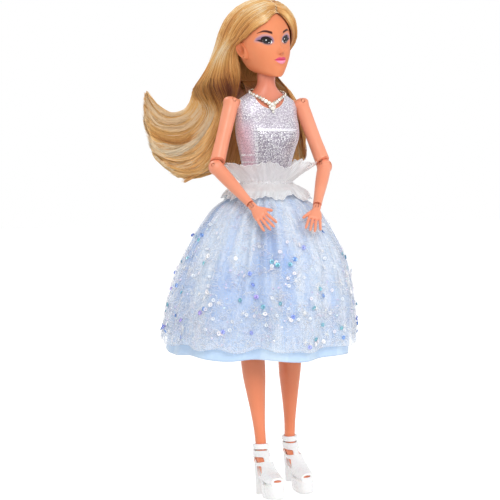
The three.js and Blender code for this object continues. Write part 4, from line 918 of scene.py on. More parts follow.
def lame_cloth(name, ground_pale, ground_dark, dot_pale, dot_dark, zones=False):
    made, tree, shader = material(name)  # polyester knit with foil dots
    where = cloth_uv(tree)
    cells = node(tree, "ShaderNodeTexVoronoi", {"Vector": where, "Scale": 1180.0, "Randomness": 0.42},
                 voronoi_dimensions="2D")
    dots = remapped(tree, cells.outputs["Distance"], 0.46, 0.34)
    sparkle = node(tree, "ShaderNodeSeparateColor", {0: cells.outputs["Color"]}).outputs[0]
    ground = ramp(tree, noise(tree, where, 130, 3, 0.6), (0.35, ground_dark), (0.65, ground_pale))
    dot = ramp(tree, sparkle, (0.1, dot_dark), (0.6, dot_pale), (1.0, "#ffffff"))
    if zones:
        parts = node(tree, "ShaderNodeSeparateXYZ", {0: where}).outputs
        rose = reckoned(tree, "MULTIPLY", between(tree, parts[0], -0.0245, -0.0140, 0.0022),
                        between(tree, parts[1], 0.031, 0.059, 0.004))
        rose = reckoned(tree, "MULTIPLY", rose, 0.75)
        ground = blended(tree, rose, ground, linear("#b58e9c"))
        dot = blended(tree, rose, dot, linear("#ecc3d2"))
        sheen_side = reckoned(tree, "MULTIPLY", between(tree, parts[0], 0.0165, 0.028, 0.003), 0.5)
        dot = blended(tree, sheen_side, dot, linear("#f4f2fb"))
    connect(tree, shader, {
        "Base Color": blended(tree, dots, ground, dot), "Roughness": ramp(tree, dots, (0.0, 0.6), (1.0, 0.3)),
        "Metallic": reckoned(tree, "MULTIPLY", dots, 0.4), "Sheen Weight": 0.15})
    bumped(tree, shader, dots, 0.35, 0.00012)
    return made


lame = lame_cloth("lame_knit", "#b5adba", "#968e9e", "#eeeaf3", "#c8c0ce", zones=True)
panel_lame = lame_cloth("lame_panel", "#8b8392", "#5f5766", "#f2eff5", "#b4adbb")


def white_weave(name, code, alpha, scale, rough=0.55):
    made, tree, shader = material(name)
    where = cloth_uv(tree)
    waves = [node(tree, "ShaderNodeTexWave", {"Vector": where, "Scale": scale / 6.283, "Distortion": 0.6},
                  bands_direction=way).outputs[1] for way in "XY"]
    weave = reckoned(tree, "MULTIPLY", *waves)
    cloud = noise(tree, where, 180, 4, 0.6)
    connect(tree, shader, {
        "Base Color": blended(tree, cloud, linear(code), (1, 1, 1, 1), "SOFT_LIGHT"),
        "Roughness": ramp(tree, weave, (0.0, rough + 0.12), (1.0, rough - 0.08)), "Sheen Weight": 0.25,
        "Subsurface Weight": 0.25, "Subsurface Scale": 0.004, "Subsurface Radius": (1.0, 1.0, 1.0)})
    if alpha < 1:
        connect(tree, shader, {"Alpha": remapped(tree, reckoned(tree, "ADD", weave, cloud), 0.2, 1.4,
                                                 alpha - 0.14, min(1.0, alpha + 0.2))})
    bumped(tree, shader, weave, 0.2, 0.00008)
    return made


organza = white_weave("organza_white", "#fcfdff", 0.54, 2200, 0.42)  # crisp sheer nylon
tape = white_weave("tape_white", "#f1eff3", 1.0, 2600)
thread_white = white_weave("thread_white", "#f6f5f8", 1.0, 5000, 0.45)

# %% [markdown]
# ## Bodice
# The bodice is a closed shell of knit over the torso, cut where the neckline and the armholes are. Its
# UV map unrolls it round the body, which the dots and the coloured zones follow. White edging, a front
# panel, a tape and rows of stitches finish it.

# %% Bodice shell and panel
BODICE_LOW, BODICE_TOP, CLOTH_GAP, KNIT = 24.5, 79.5, 0.35, 0.7
UNROLL = 16.5


def unroll_uv(mesh):
    """UV in metres: the way round the body and the height, without a jump inside any face."""
    corners = np.empty(len(mesh.loops), int)
    mesh.loops.foreach_get("vertex_index", corners)
    points = places_of(mesh)[corners]
    turn = np.arctan2(points[:, 0], -points[:, 1])
    starts = np.empty(len(mesh.polygons), int)
    mesh.polygons.foreach_get("loop_start", starts)
    totals = np.diff(np.append(starts, len(corners)))
    first = np.repeat(turn[starts], totals)
    turn = np.where(turn - first > np.pi, turn - 2 * np.pi,
                    np.where(turn - first < -np.pi, turn + 2 * np.pi, turn))
    uv = np.stack([turn * UNROLL * MM, points[:, 2] * MM], axis=-1)
    mesh.uv_layers.new(name="cloth").data.foreach_set("uv", uv.astype(np.float32).ravel())


def body_point(turn, z, out):
    """A point on the torso's skin at a true turn from the front, in radians."""
    wide, deep, _ = torso_sizes(z)
    angle = np.arctan2(-np.cos(turn) / (deep + out), np.sin(turn) / (wide + out))
    return torso_skin(angle, z, out)


ARMHOLE, NECKLINE, FRONT_SCOOP, BACK_SCOOP = 5.7, 10.5, 11, 5
bodice = working(torso_body(CLOTH_GAP + KNIT, BODICE_LOW, BODICE_TOP, 96, 150), "bodice_knit")
cut(bodice, working(torso_body(CLOTH_GAP, BODICE_LOW - 2, BODICE_TOP + 2, 96, 150)))
scoop = circle(64)
tools = [loft([np.c_[NECKLINE * np.cos(scoop), np.full(64, y), BODICE_TOP + deep * np.sin(scoop)] for y in ends])
         for deep, ends in ((FRONT_SCOOP, (-40, 0.01)), (BACK_SCOOP, (-0.01, 40)))]
tools += [ball(ARMHOLE, *SHOULDER[side], sides=64) for side in (-1, 1)]
cut(bodice, *[working(tool) for tool in tools])
unroll_uv(bodice.data)
finished(bodice, "bodice_knit", lame, "torso", replaced=["bodice"])


def patch(name, turns, heights, out, thickness, finish, columns=60, rows=40):
    """A piece of cloth sewn on the body between two turns, in degrees, and two heights."""
    turn = np.radians(np.linspace(*turns, columns))[None, :]
    z = np.linspace(*heights, rows)[:, None]
    layers = [body_point(*np.broadcast_arrays(turn, z), out + lift) for lift in (thickness, 0.0)]
    points, quads, _ = outward(np.concatenate([layer.reshape(-1, 3) for layer in layers]),
                               sheet_quads(rows, columns), NO_TRIS)
    piece = working((points, quads), name)
    unroll_uv(piece.data)
    return finished(piece, name, finish, "torso")


ON_KNIT = CLOTH_GAP + KNIT + 0.02
patch("bodice_panel", (-41.5, 51.5), (31.5, 55.5), ON_KNIT, 0.22, panel_lame)
band_lame = lame_cloth("lame_band", "#e4e0ea", "#c9c3d1", "#ffffff", "#f6f3fa")
patch("panel_tape", (-42.5, 52.5), (55.2, 56.8), ON_KNIT + 0.05, 0.3, band_lame, 80, 8)

# %% [markdown]
# ## Edging and stitches
# A narrow white edging binds the neckline and the armholes. It is a tube that follows the cut edge.
# Stitches are tiny rounded bars set by the point tree beside the panel and across the right side.

# %% Edging and stitches
EDGE_STEPS, CLOTH_MIDDLE = 90, CLOTH_GAP + KNIT / 2


def neck_edge(facing, deep):
    """The neckline in front (facing -1) or at the back (1)."""
    turn = np.linspace(0.04, np.pi - 0.04, EDGE_STEPS)
    x, z = NECKLINE * np.cos(turn), BODICE_TOP - deep * np.sin(turn)
    wide, depth, back = torso_sizes(z)
    share = np.clip(x / (wide + CLOTH_MIDDLE), -0.985, 0.985)
    return np.stack([x, back + facing * (depth + CLOTH_MIDDLE) * np.sqrt(1 - share**2), z], axis=-1)


def arm_edge(side):
    """The armhole: where the cloth meets the ball of room round the joint, found by halving."""
    turn, low, high = np.linspace(-np.pi, np.pi, EDGE_STEPS), np.zeros(EDGE_STEPS), np.full(EDGE_STEPS, 9.0)
    for _ in range(14):
        reach = (low + high) / 2
        y, z = reach * np.cos(turn), SHOULDER[side][2] + reach * np.sin(turn)
        wide, deep, back = torso_sizes(z)
        share = np.clip((y - back) / (deep + CLOTH_MIDDLE), -1, 1)
        x = (wide + CLOTH_MIDDLE) * np.sqrt(1 - share**2)
        inside = np.hypot(x - SHOULDER[1][0], reach) < ARMHOLE
        low, high = np.where(inside, reach, low), np.where(inside, high, reach)
    return np.stack([side * x, y, z], axis=-1)


edges = np.stack([neck_edge(-1, FRONT_SCOOP), neck_edge(1, BACK_SCOOP), arm_edge(-1), arm_edge(1)])
ripple = 1 + 0.16 * np.sin(np.arange(EDGE_STEPS) * 2.1) + 0.1 * np.sin(np.arange(EDGE_STEPS) * 5.3)
edging = on_lines("bodice_edging", edges, 0.34, thread_white, sizes=np.tile(ripple, (4, 1)), sides=8)
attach(edging, "torso")


def stitch(length, radius):
    """A rounded bar along X, for the point tree."""
    along = np.array([-0.5, -0.42, -0.2, 0.2, 0.42, 0.5]) * length
    thick = np.array([0.25, 0.75, 1, 1, 0.75, 0.25]) * radius
    turn = circle(6)
    rings = [np.c_[np.full(6, x), r * np.cos(turn), r * np.sin(turn)] for x, r in zip(along, thick)]
    points, quads, tris = loft(rings)
    return working((points * MM, quads, tris), "stitch_template")


def outward_of(points):
    aims = np.array(points, float)
    aims[:, 2] = 0
    return aims / np.linalg.norm(aims, axis=1, keepdims=True)


marks = [body_point(np.radians(turn), z, ON_KNIT + 0.12)
         for turn, step in ((-43.4, 1.7), (-47.0, 1.7), (53.6, 2.3)) for z in np.arange(31.5, 56, step)]
marks += [body_point(np.radians(turn), z, ON_KNIT + 0.08)
          for z in (36.5, 40.8) for turn in np.arange(-84, -46, 4.2)]
marks = np.array(marks)
stitches = on_points("panel_stitches", marks, outward_of(marks), np.ones(len(marks)), stitch(1.35, 0.3),
                     thread_white, spread=0.25, seed=4)
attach(stitches, "torso")

closure = patch("bodice_closure_tape", (171, 189), (33.0, 65.0), CLOTH_GAP + KNIT + 0.3, 0.5, tape, 24, 60)
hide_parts("bodice_closure")

# %% [markdown]
# ## Waist band and frills
# Two frills of sheer white cloth spring from a gathered band. The cloth at the edge is longer than the
# band, so it buckles into scallops: the waves grow with the distance from the band, and no two are
# alike. Sums of sines with uneven phases give that, and a rolled hem closes each edge.

# %% Band and frills
BAND_Z, FRILL_SIDES = 24.0, 480
band_x, band_y, _ = torso_sizes(BAND_Z)


def round_body(angle, out, z):
    """Points round the waist, moved outwards."""
    return np.stack(np.broadcast_arrays((band_x + out) * np.cos(angle), (band_y + out) * np.sin(angle), z), axis=-1)


def gathers(angle, seed, low, high, count=9):
    """An uneven wave round the body, between about -1 and 1."""
    draw = np.random.RandomState(seed)
    waves = draw.randint(low, high, count)
    phases = draw.uniform(0, 2 * np.pi, count)
    sizes = draw.uniform(0.5, 1, count)
    total = sum(s * np.sin(w * angle + p) for w, p, s in zip(waves, phases, sizes))
    return total / math.sqrt((sizes**2).sum())


def band_shape(angle, share):
    crinkle = 0.35 * gathers(angle, 3, 30, 62) * (0.4 + 0.6 * np.sin(np.pi * share))
    out = 2.15 + crinkle + 0.25 * np.sin(np.pi * share)
    return round_body(angle, out, BAND_Z + 2 - 4 * share + 0.2 * gathers(angle, 5, 12, 30))


def frill_shape(rise, heights, reaches, seed, deep, scallop):
    table = np.c_[np.linspace(0, 1, len(heights)), heights, reaches]

    def shape(angle, share):
        everywhere = np.broadcast_to(share, np.broadcast_shapes(share.shape, angle.shape))
        height, reach = np.moveaxis(eased(table, everywhere), -1, 0)
        wave = 0.62 * gathers(angle, seed, 7, 12, 5) + 0.5 * gathers(angle, seed + 1, 15, 24, 5)
        fine = gathers(angle + 0.06 * share, seed + 2, 28, 52, 7) * (0.55 + 0.3 * reach)
        out = 3.0 + reach * 13.0 + (deep * wave * reach**1.2 + fine)
        tip = scallop * gathers(angle + 0.11, seed, 7, 12, 5) * reach**1.5 + 0.5 * fine
        return round_body(angle, out, BAND_Z + height * rise + tip * np.sign(rise))

    return shape


band = cloth_ring("waist_band_gathers", band_shape, 360, 12, 0.7, tape, (92, 4))
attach(band, "torso")
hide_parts("waist_band")
FRILLS = {  # rise, heights and reaches from the band to the edge, seed, depth of the waves, scallops
    "ruffle_upper": (11.0, (0.08, 0.4, 0.72, 1.0), (0.0, 0.3, 0.68, 0.98), 11, 1.9, 1.5),
    "ruffle_lower": (-8.6, (0.05, 0.3, 0.62, 1.0), (0.0, 0.34, 0.66, 0.84), 23, 1.7, 1.9)}
for name, (rise, heights, reaches, seed, deep, scallop) in FRILLS.items():
    shape = frill_shape(rise, heights, reaches, seed, deep, scallop)
    frill = cloth_ring(name + "_sheer", shape, FRILL_SIDES, 40, 0.22, organza, (170, 16))
    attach(frill, "torso")
    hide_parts(name)
    angle = np.arange(FRILL_SIDES + 1) / FRILL_SIDES * 2 * np.pi
    rim = shape(angle[None, :], np.array([[1.0]]))
    hem = on_lines(name + "_hem", rim, 0.16, thread_white, sides=6)
    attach(hem, "torso")

# %% [markdown]
# ## Skirts
# The underskirt is plain satin with a few broad folds. The overskirt is tulle gathered at the waist and
# falls in soft folds that open towards the hem. Both share one fold function, so that the layers lie on
# each other and never cross.

# %% Skirt folds
SKIRT_TOP, SKIRT_LENGTH, SKIRT_REACH, SKIRT_DEPTH, SKIRT_SWAY, SHORTER = 19.0, 98.0, 57.5, 0.92, 3.5, 6
SKIRT_ROWS = [[0, 0.285], [0.035, 0.36], [0.09, 0.48], [0.2, 0.62], [0.38, 0.79], [0.64, 0.94], [1, 1]]
SKIRT_FOLDS = [(7, 1, 20), (5, 0.6, 100), (9, 0.6, 200), (3, 0.35, 300)]  # waves round the skirt, size, turn


def skirt_place(angle, share, lift=0.0):
    angle, share = np.broadcast_arrays(np.asarray(angle, float), np.asarray(share, float))
    reach = SKIRT_REACH * eased(SKIRT_ROWS, share)[..., 0]
    broad = 1.2 * (share + np.sqrt(share)) * sum(
        size * np.sin(waves * angle + math.radians(turn)) for waves, size, turn in SKIRT_FOLDS)
    pleat = smooth_step(0, 0.12, share) * (1 - smooth_step(0.25, 0.8, share)) * gathers(angle, 37, 26, 44, 8)
    drape = 0.45 * smooth_step(0.2, 0.9, share) * gathers(angle + 0.25 * share, 41, 14, 26, 7)
    reach = reach + broad + pleat + drape + lift
    sag = 0.8 * share**2 * gathers(angle, 43, 3, 9, 5)
    return np.stack([reach * np.cos(angle) - SKIRT_SWAY * share**2, reach * SKIRT_DEPTH * np.sin(angle),
                     SKIRT_TOP - share * SKIRT_LENGTH + sag], axis=-1)


def fold_shade_bands(tree, where):
    """Painted shade and painted light of folds, in soft bands down the skirt which close up at the waist: 0 in a
    shaded valley and 1 on a lit ridge, and paler over the lower part.
    """
    drawn = node(tree, "ShaderNodeMapping", {"Vector": where, "Scale": (1.0, 0.16, 1.0)}).outputs[0]
    drift = noise(tree, drawn, 58, 3, 0.5, 0.4)
    band = remapped(tree, drift, 0.35, 0.55)
    height = node(tree, "ShaderNodeSeparateXYZ", {"Vector": where}).outputs[1]
    low = between(tree, height, 0.06, 0.2, 0.03)
    return reckoned(tree, "MAXIMUM", band, reckoned(tree, "MULTIPLY", low, 0.8))


def satin_blue():
    made, tree, shader = material("satin_pale_blue")  # polyester satin
    where = cloth_uv(tree)
    weave = node(tree, "ShaderNodeTexWave", {"Vector": where, "Scale": 360.0, "Distortion": 1.2,
                                             "Detail": 2.0}, bands_direction="Y").outputs[1]
    ridge = ramp(tree, noise(tree, where, 22, 3, 0.55), (0.3, "#c6e0fa"), (0.7, "#d8ecff"))
    # deep blue as painted shade in the fold valleys, pale blue as painted light on the ridges
    connect(tree, shader, {
        "Base Color": blended(tree, fold_shade_bands(tree, where), linear("#8fb4ea"), ridge),
        "Roughness": ramp(tree, weave, (0.0, 0.42), (1.0, 0.3)), "Anisotropic": 0.5, "Sheen Weight": 0.2})
    bumped(tree, shader, weave, 0.12, 0.00005)
    return made


underskirt = cloth_ring("underskirt_satin", skirt_place, 360, 84, 0.5, satin_blue(), (360, 98))
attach(underskirt, "torso")
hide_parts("underskirt")

# %% [markdown]
# ## Tulle
# Tulle is a net: its holes let the satin's blue through, and its threads are whitish. The net's own
# cells are 0.7 mm, finer than the eye sees at arm's length, so they are drawn in the material as alpha.
# Clouds in the alpha stand for the crinkled places, where the net lies double.

# %% Tulle and overskirt
def tulle_net():
    made, tree, shader = material("tulle_net")  # nylon net with a blue-white sheen
    where = cloth_uv(tree)
    cells = node(tree, "ShaderNodeTexVoronoi", {"Vector": where, "Scale": 1100.0, "Randomness": 0.35},
                 voronoi_dimensions="2D", feature="DISTANCE_TO_EDGE").outputs["Distance"]
    stretched = node(tree, "ShaderNodeMapping", {"Vector": where, "Scale": (1.0, 0.28, 1.0)}).outputs[0]
    streaks = noise(tree, stretched, 330, 5, 0.7, 0.6)
    crinkle = noise(tree, where, 420, 4, 0.75, 1.5)
    cover = reckoned(tree, "ADD", reckoned(tree, "MULTIPLY", remapped(tree, cells, 0.16, 0.06), 0.3),
                     remapped(tree, streaks, 0.36, 0.7, 0.06, 0.46))
    cover = reckoned(tree, "ADD", cover, remapped(tree, crinkle, 0.45, 0.75, 0.0, 0.3))
    band = fold_shade_bands(tree, where)
    cover = reckoned(tree, "MULTIPLY", cover, ramp(tree, band, (0.0, 0.5), (1.0, 0.98)))
    net = ramp(tree, crinkle, (0.35, "#e4f0ff"), (0.55, "#f4f8ff"), (0.75, "#fefcff"))
    # the base colour is darker blue in the fold valleys: painted shade
    connect(tree, shader, {
        "Alpha": reckoned(tree, "MINIMUM", cover, 0.92),
        "Base Color": blended(tree, band, linear("#cfe0fa"), net),
        "Roughness": ramp(tree, streaks, (0.3, 0.7), (0.7, 0.5)), "Sheen Weight": 0.3})
    bumped(tree, shader, crinkle, 0.5, 0.0004)
    return made


OVER_LENGTH = SKIRT_LENGTH - SHORTER


def over_place(angle, share, lift=0.0):
    angle, share = np.broadcast_arrays(np.asarray(angle, float), np.asarray(share, float))
    puff = 0.8 + smooth_step(0.0, 0.2, share) + 0.55 * smooth_step(0.15, 0.6, share) * (
        1 + gathers(angle + 0.3 * share, 53, 18, 34, 7)) + 0.9 * smooth_step(0.8, 1.0, share)
    place = skirt_place(angle, share * (OVER_LENGTH / SKIRT_LENGTH), puff + 0.6 + lift)
    place[..., 2] += 0.8 * share**3 * gathers(angle, 59, 9, 19, 6)
    return place


overskirt = cloth_ring("overskirt_tulle", over_place, 400, 96, 0.3, tulle_net(), (360, 92))
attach(overskirt, "torso")
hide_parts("overskirt")

# %% [markdown]
# ## Embroidery
# Fine white threads curl over the tulle, little stars are stitched here and there, and sequins are sewn
# on: pearly cups, blue, teal and violet ones, and tiny iridescent flakes. Threads and stars are lines for
# the thread tree, and the sequins are one cup set on many points.

# %% Threads and stars
draw = np.random.RandomState(71)


def over_frame(angle, share, lift):
    """Places on the overskirt with the way round, the way down and the outward direction there."""
    step = 0.004
    here = over_place(angle, share, lift)
    around = over_place(angle + step, share, lift) - here
    down = over_place(angle, share + step, lift) - here
    around /= np.linalg.norm(around, axis=-1, keepdims=True)
    down /= np.linalg.norm(down, axis=-1, keepdims=True)
    out = np.cross(down, around)
    out /= np.linalg.norm(out, axis=-1, keepdims=True)
    out *= np.sign((out[..., :2] * here[..., :2]).sum(-1, keepdims=True))
    return here, around, down, out


def curly_threads(count, steps=16):
    lines = []
    for _ in range(count):
        angle = draw.uniform(0, 2 * np.pi)
        share = math.sqrt(draw.uniform(0.004, 0.97))
        course = draw.uniform(0, 2 * np.pi)
        bend = draw.normal(0, 0.5)
        stride = draw.uniform(0.35, 1.15)
        places = []
        for _ in range(steps):
            places.append((angle, min(share, 0.985)))
            bend = 0.75 * bend + draw.normal(0, 0.42)
            course += bend
            radius = SKIRT_REACH * (0.35 + 0.65 * share)
            angle += math.cos(course) * stride / radius
            share = max(0.01, share + math.sin(course) * stride / 92)
        places = np.array(places)
        loops = 0.25 + 0.45 * np.abs(np.sin(np.arange(steps) * 0.9 + angle))
        lines.append(over_place(places[:, 0], places[:, 1], loops))
    return np.array(lines)


def plain_tint(count, steps, codes):
    picks = draw.randint(0, len(codes), count)
    return np.repeat(np.array([linear(code) for code in codes])[picks], steps, axis=0)


def tinted(name, rough, metallic, coat=0.0, spec=0.5):
    made, tree, shader = material(name)
    cloud = noise(tree, object_places(tree), 1200, 2)
    pale = reckoned(tree, "MULTIPLY", cloud, 0.35)
    connect(tree, shader, {
        "Base Color": blended(tree, pale, point_tint(tree), (1, 1, 1, 1)),
        "Roughness": ramp(tree, cloud, (0.3, max(rough - 0.06, 0.02)), (0.7, rough + 0.06)),
        "Metallic": metallic, "Coat Weight": coat, "Coat Roughness": 0.08, "Specular IOR Level": spec})
    return made


embroidery = tinted("embroidery_thread", 0.5, 0.0)
curls = curly_threads(1500)
curl_tints = plain_tint(len(curls), curls.shape[1], ("#ffffff", "#f2f4fb", "#ffffff", "#e9ecf8", "#efe6f4"))
thread_piece = on_lines("skirt_threads", curls, 0.085, embroidery, tints=curl_tints)
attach(thread_piece, "torso")

spokes = []
for _ in range(58):
    angle, share = draw.uniform(0, 2 * np.pi), math.sqrt(draw.uniform(0.03, 0.9))
    here, around, down, out = over_frame(np.array([angle]), np.array([share]), 0.75)
    reach = draw.uniform(1.5, 2.8)
    start = draw.uniform(0, np.pi)
    for spoke in range(4):
        turn = start + spoke * np.pi / 4
        way = math.cos(turn) * around[0] + math.sin(turn) * down[0]
        spokes.append([here[0] + way * reach * s + out[0] * (0.35 - 0.3 * abs(s)) for s in (-1, -0.5, 0, 0.5, 1)])
stars = on_lines("skirt_stars", np.array(spokes), 0.15, embroidery,
                 tints=np.tile(linear("#ffffff"), (len(spokes) * 5, 1)),
                 sizes=np.tile([0.5, 1, 1.3, 1, 0.5], (len(spokes), 1)))
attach(stars, "torso")

# %% Sequins
def cup_template(radius, depth, hole):
    """A shallow cup with a hole for its thread, as a thin closed ring."""
    profile = [(hole, 0.0), (radius * 0.55, depth * 0.35), (radius * 0.9, depth * 0.9), (radius, depth),
               (radius * 0.97, depth + 0.1), (radius * 0.55, depth * 0.35 + 0.12), (hole, 0.12)]
    turn = circle(12)
    rings = np.array([[(r * math.cos(t) * MM, r * math.sin(t) * MM, z * MM) for t in turn] for r, z in profile])
    return working(outward(rings.reshape(-1, 3), ring_quads(len(profile), 12), NO_TRIS), "cup_template")


def sequins(name, count, seed, template, codes, finish, low, spread, lift=0.75):
    draw = np.random.RandomState(seed)
    angle = draw.uniform(0, 2 * np.pi, count)
    share = np.sqrt(draw.uniform(low**2, 0.95, count))
    here, around, down, out = over_frame(angle, share, lift)
    aims = out + 0.28 * draw.normal(size=out.shape)
    aims /= np.linalg.norm(aims, axis=1, keepdims=True)
    tints = np.array([linear(code) for code in codes])[draw.randint(0, len(codes), count)]
    piece = on_points(name, here, aims, np.ones(count), template, finish, tints, spread, seed)
    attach(piece, "torso")


pearl = tinted("sequin_pearl", 0.25, 0.05, coat=0.6)
foil = tinted("sequin_foil", 0.22, 0.55, coat=0.4)
sequins("sequins_pearl", 46, 5, cup_template(1.45, 0.5, 0.3), ("#fbfafc", "#f4f2f8", "#ffffff"), pearl, 0.3, 0.06)
sequins("sequins_clear", 120, 6, cup_template(1.15, 0.4, 0.28), ("#e6ecf6", "#dfe8f4", "#f0ecf8"), pearl, 0.1, 0.12)
sequins("sequins_colour", 92, 7, cup_template(1.3, 0.5, 0.3),
        ("#1f7fd8", "#1fa9bd", "#4a76dc", "#8a72d8", "#3fb8c8", "#5a94e4", "#7c8ce6", "#2b9cb6"), foil, 0.25, 0.12)
sequins("sequin_flakes", 420, 8, cup_template(0.42, 0.1, 0.1),
        ("#ffffff", "#e8d8f2", "#d8f2f2", "#f6e2ee", "#cfd8f6", "#d0b8e6"), foil, 0.08, 0.35, 0.5)

# %% [markdown]
# ## Platform sandals
# Each sandal is one moulding of glossy white plastic: a foot-shaped upper on a platform, with a heel
# behind. The upper is the foot grown by the wall, so it always fits. Everything is melted into one skin,
# then the foot's hollow, the strap slits, the windows and the peep toe are cut, and a second light melt
# rounds their edges.

# %% Sandal material
def sandal_plastic():
    made, tree, shader = material("sandal_plastic")  # glossy white PVC
    where = object_places(tree)
    cloud = noise(tree, where, 90, 3)
    tree.links.new(ramp(tree, cloud, (0.3, "#fbfaf8"), (0.7, "#ffffff")), shader.inputs["Base Color"])
    scuff = noise(tree, where, 700, 4, 0.7)
    tree.links.new(ramp(tree, scuff, (0.3, 0.22), (0.75, 0.36)), shader.inputs["Roughness"])
    shader.inputs["Coat Weight"].default_value = 0.25
    shader.inputs["Coat Roughness"].default_value = 0.15
    shader.inputs["Subsurface Weight"].default_value = 0.05
    shader.inputs["Subsurface Scale"].default_value = 0.002
    bumped(tree, shader, noise(tree, where, 320, 2), 0.06, 0.0002)
    return made


SOLE, PLATFORM, PLATFORM_FRONT, PLATFORM_BACK = 31.0, 8.0, 27.5, 8.5
white_plastic = sandal_plastic()


def platform_shape():
    angle = circle(72)
    squared = [np.sign(f) * np.abs(f) ** 0.75 for f in (np.cos(angle), np.sin(angle))]
    middle, half = -(PLATFORM_FRONT + PLATFORM_BACK) / 2, (PLATFORM_FRONT - PLATFORM_BACK) / 2
    return loft([np.c_[grow * 5.7 * squared[0], middle + grow * half * squared[1],
                       np.full(72, rise * PLATFORM - SOLE)]
                 for rise, grow in ((0, 0.9), (0.04, 0.955), (0.14, 0.995), (0.5, 1.0), (0.93, 0.975), (1, 0.95))])


def rounded(outline, radius=0.5, steps=5):
    """An outline with its corners rounded."""
    outline = np.asarray(outline, float)
    points = []
    for before, here, after in zip(np.roll(outline, 1, 0), outline, np.roll(outline, -1, 0)):
        a, b = (before - here) / np.linalg.norm(before - here), (after - here) / np.linalg.norm(after - here)
        for t in np.linspace(0, 1, steps):
            points.append(here + a * radius * (1 - t) ** 2 + b * radius * t**2)
    return np.array(points)


def across_window(x0, x1, outline, radius=0.6):
    ring = rounded(outline, radius)
    return loft([np.c_[np.full(len(ring), x), ring] for x in sorted((x0, x1))])


def sandal_shape(side):
    upper = working(foot_shape(1.35, 56, 90))
    cut(upper, working(block((-50, -50, -SOLE), (50, 50, 0))), operation="INTERSECT")
    heel = loft([ellipse(40, 0, y, z, half, half * 1.05) for z, y, half in (
        (-SOLE, 5.5, 2.25), (-24, 5.5, 2.15), (-20, 5.3, 2.3), (-16.5, 4.6, 2.8), (-13.5, 3.6, 3.3), (-11, 2.6, 3.4))])
    y0, z0 = 2.6, -13.7
    y1, z1 = -PLATFORM_BACK - PLATFORM / 2, PLATFORM * 0.7 - SOLE
    shank = loft([np.array([[-3.5, y, z + 1.8], [3.5, y, z + 1.8], [3.5, y, z - 1.8], [-3.5, y, z - 1.8]])
                  for y, z in ((y0, z0), ((y0 + y1) / 2, (z0 + z1) / 2 + 0.4), (y1, z1))])
    collar = loft([ellipse(56, 0, 0, z, grow, grow) for z, grow in (
        (-8.4, 4.9), (-7.9, 5.0), (-5.0, 5.0), (-4.2, 4.86), (-3.4, 4.86), (-2.9, 5.0), (-0.5, 5.0), (0, 4.9))])
    cut(upper, *[working(part) for part in (platform_shape(), heel, shank, collar)], operation="UNION")
    melt(upper, 0.3, 5)
    shaft = loft([ellipse(40, side * ANKLE_INSET * (1 - t), 0, (1 - t) * SHIN, w * 7.3 + 0.25, d * 7.3 + 0.25)
                  for t, w, d in ((0.85, 0.49, 0.52), (1.01, 0.44, 0.47))])
    cut(upper, working(foot_shape(0.25, 56, 90)), working(shaft))
    windows = [block((-30, -30, -3.95), (30, 2.4, -3.2))]
    top = PLATFORM - SOLE
    for cheek in (-1, 1):
        crescent = [(2.2, -7.7), (1.2, -9.4), (-1.4, -10.9), (-4.4, -11.0), (-8.5, -10.6), (-14, -9.2), (-14, -7.7)]
        windows.append(across_window(cheek * 1.7, cheek * 20, crescent, 0.5))
        quad = [(-0.6, -13.0), (-1.6, -18.6), (-10.5, -19.0), (-14.0, -17.0), (-10.5, -12.7)]
        windows.append(across_window(cheek * 1.9, cheek * 20, quad, 0.7))
    toe = np.array([(x * 2.7, top + 2.6 + 0.75 * z) for x, z in (
        (-1, -0.2), (-0.7, 0.55), (0, 0.95), (0.7, 0.55), (1, -0.2), (0.6, -0.85), (0, -1), (-0.6, -0.85))])
    windows.append(loft([np.c_[toe[:, 0], np.full(8, y), toe[:, 1]] for y in (-60, -FOOT_LENGTH)]))
    cut(upper, *[working(window) for window in windows])
    return melt(upper, 0.26, 3)


for label, pose in POSE.items():
    finished(sandal_shape(pose["side"]), label + "_sandal", white_plastic, label + "_shin",
             leg_chain(**pose)[2], [label + "_shoe"], sharp=60)

# %% [markdown]
# ## Necklace
# A row of rhinestones in metal cups lies round the neck and dips to a larger stone in front. The stones
# are faceted, so they are shaded flat: each facet catches the light on its own.

# %% Rhinestones
def gem_template(sides=8):
    turn = circle(sides)
    rows = ((0.5, -0.2), (1.0, 0.18), (0.93, 0.4), (0.56, 0.78))
    rings = [np.c_[r * np.cos(turn + k * 0.2), r * np.sin(turn + k * 0.2), np.full(sides, z)]
             for k, (r, z) in enumerate(rows)]
    points, quads, tris = loft(rings)
    return working((points * MM, quads, tris), "gem_template")


def claw_template(sides=10):
    turn = circle(sides)
    profile = ((0.55, -0.5), (1.12, -0.28), (1.24, 0.12), (1.16, 0.3), (1.0, 0.22), (0.5, -0.3))
    rings = np.array([[(r * math.cos(t) * (1 + 0.05 * math.cos(5 * t)), r * math.sin(t), z) for t in turn]
                      for r, z in profile]) * MM
    return working(outward(rings.reshape(-1, 3), ring_quads(len(profile), sides), NO_TRIS), "claw_template")


NECKLACE_OUT = 1.75
NECKLACE_HANG = [  # degrees from the front, height
    [0, 71.6], [15, 72.8], [32, 74.8], [52, 76.9], [70, 78.5], [90, 79.9], [130, 81.2], [180, 81.6]]


def necklace_line(angle):
    turn = np.mod(angle + 1.5 * np.pi, 2 * np.pi) - np.pi
    return body_point(turn, eased(NECKLACE_HANG, np.abs(np.degrees(turn)))[..., 0], NECKLACE_OUT)


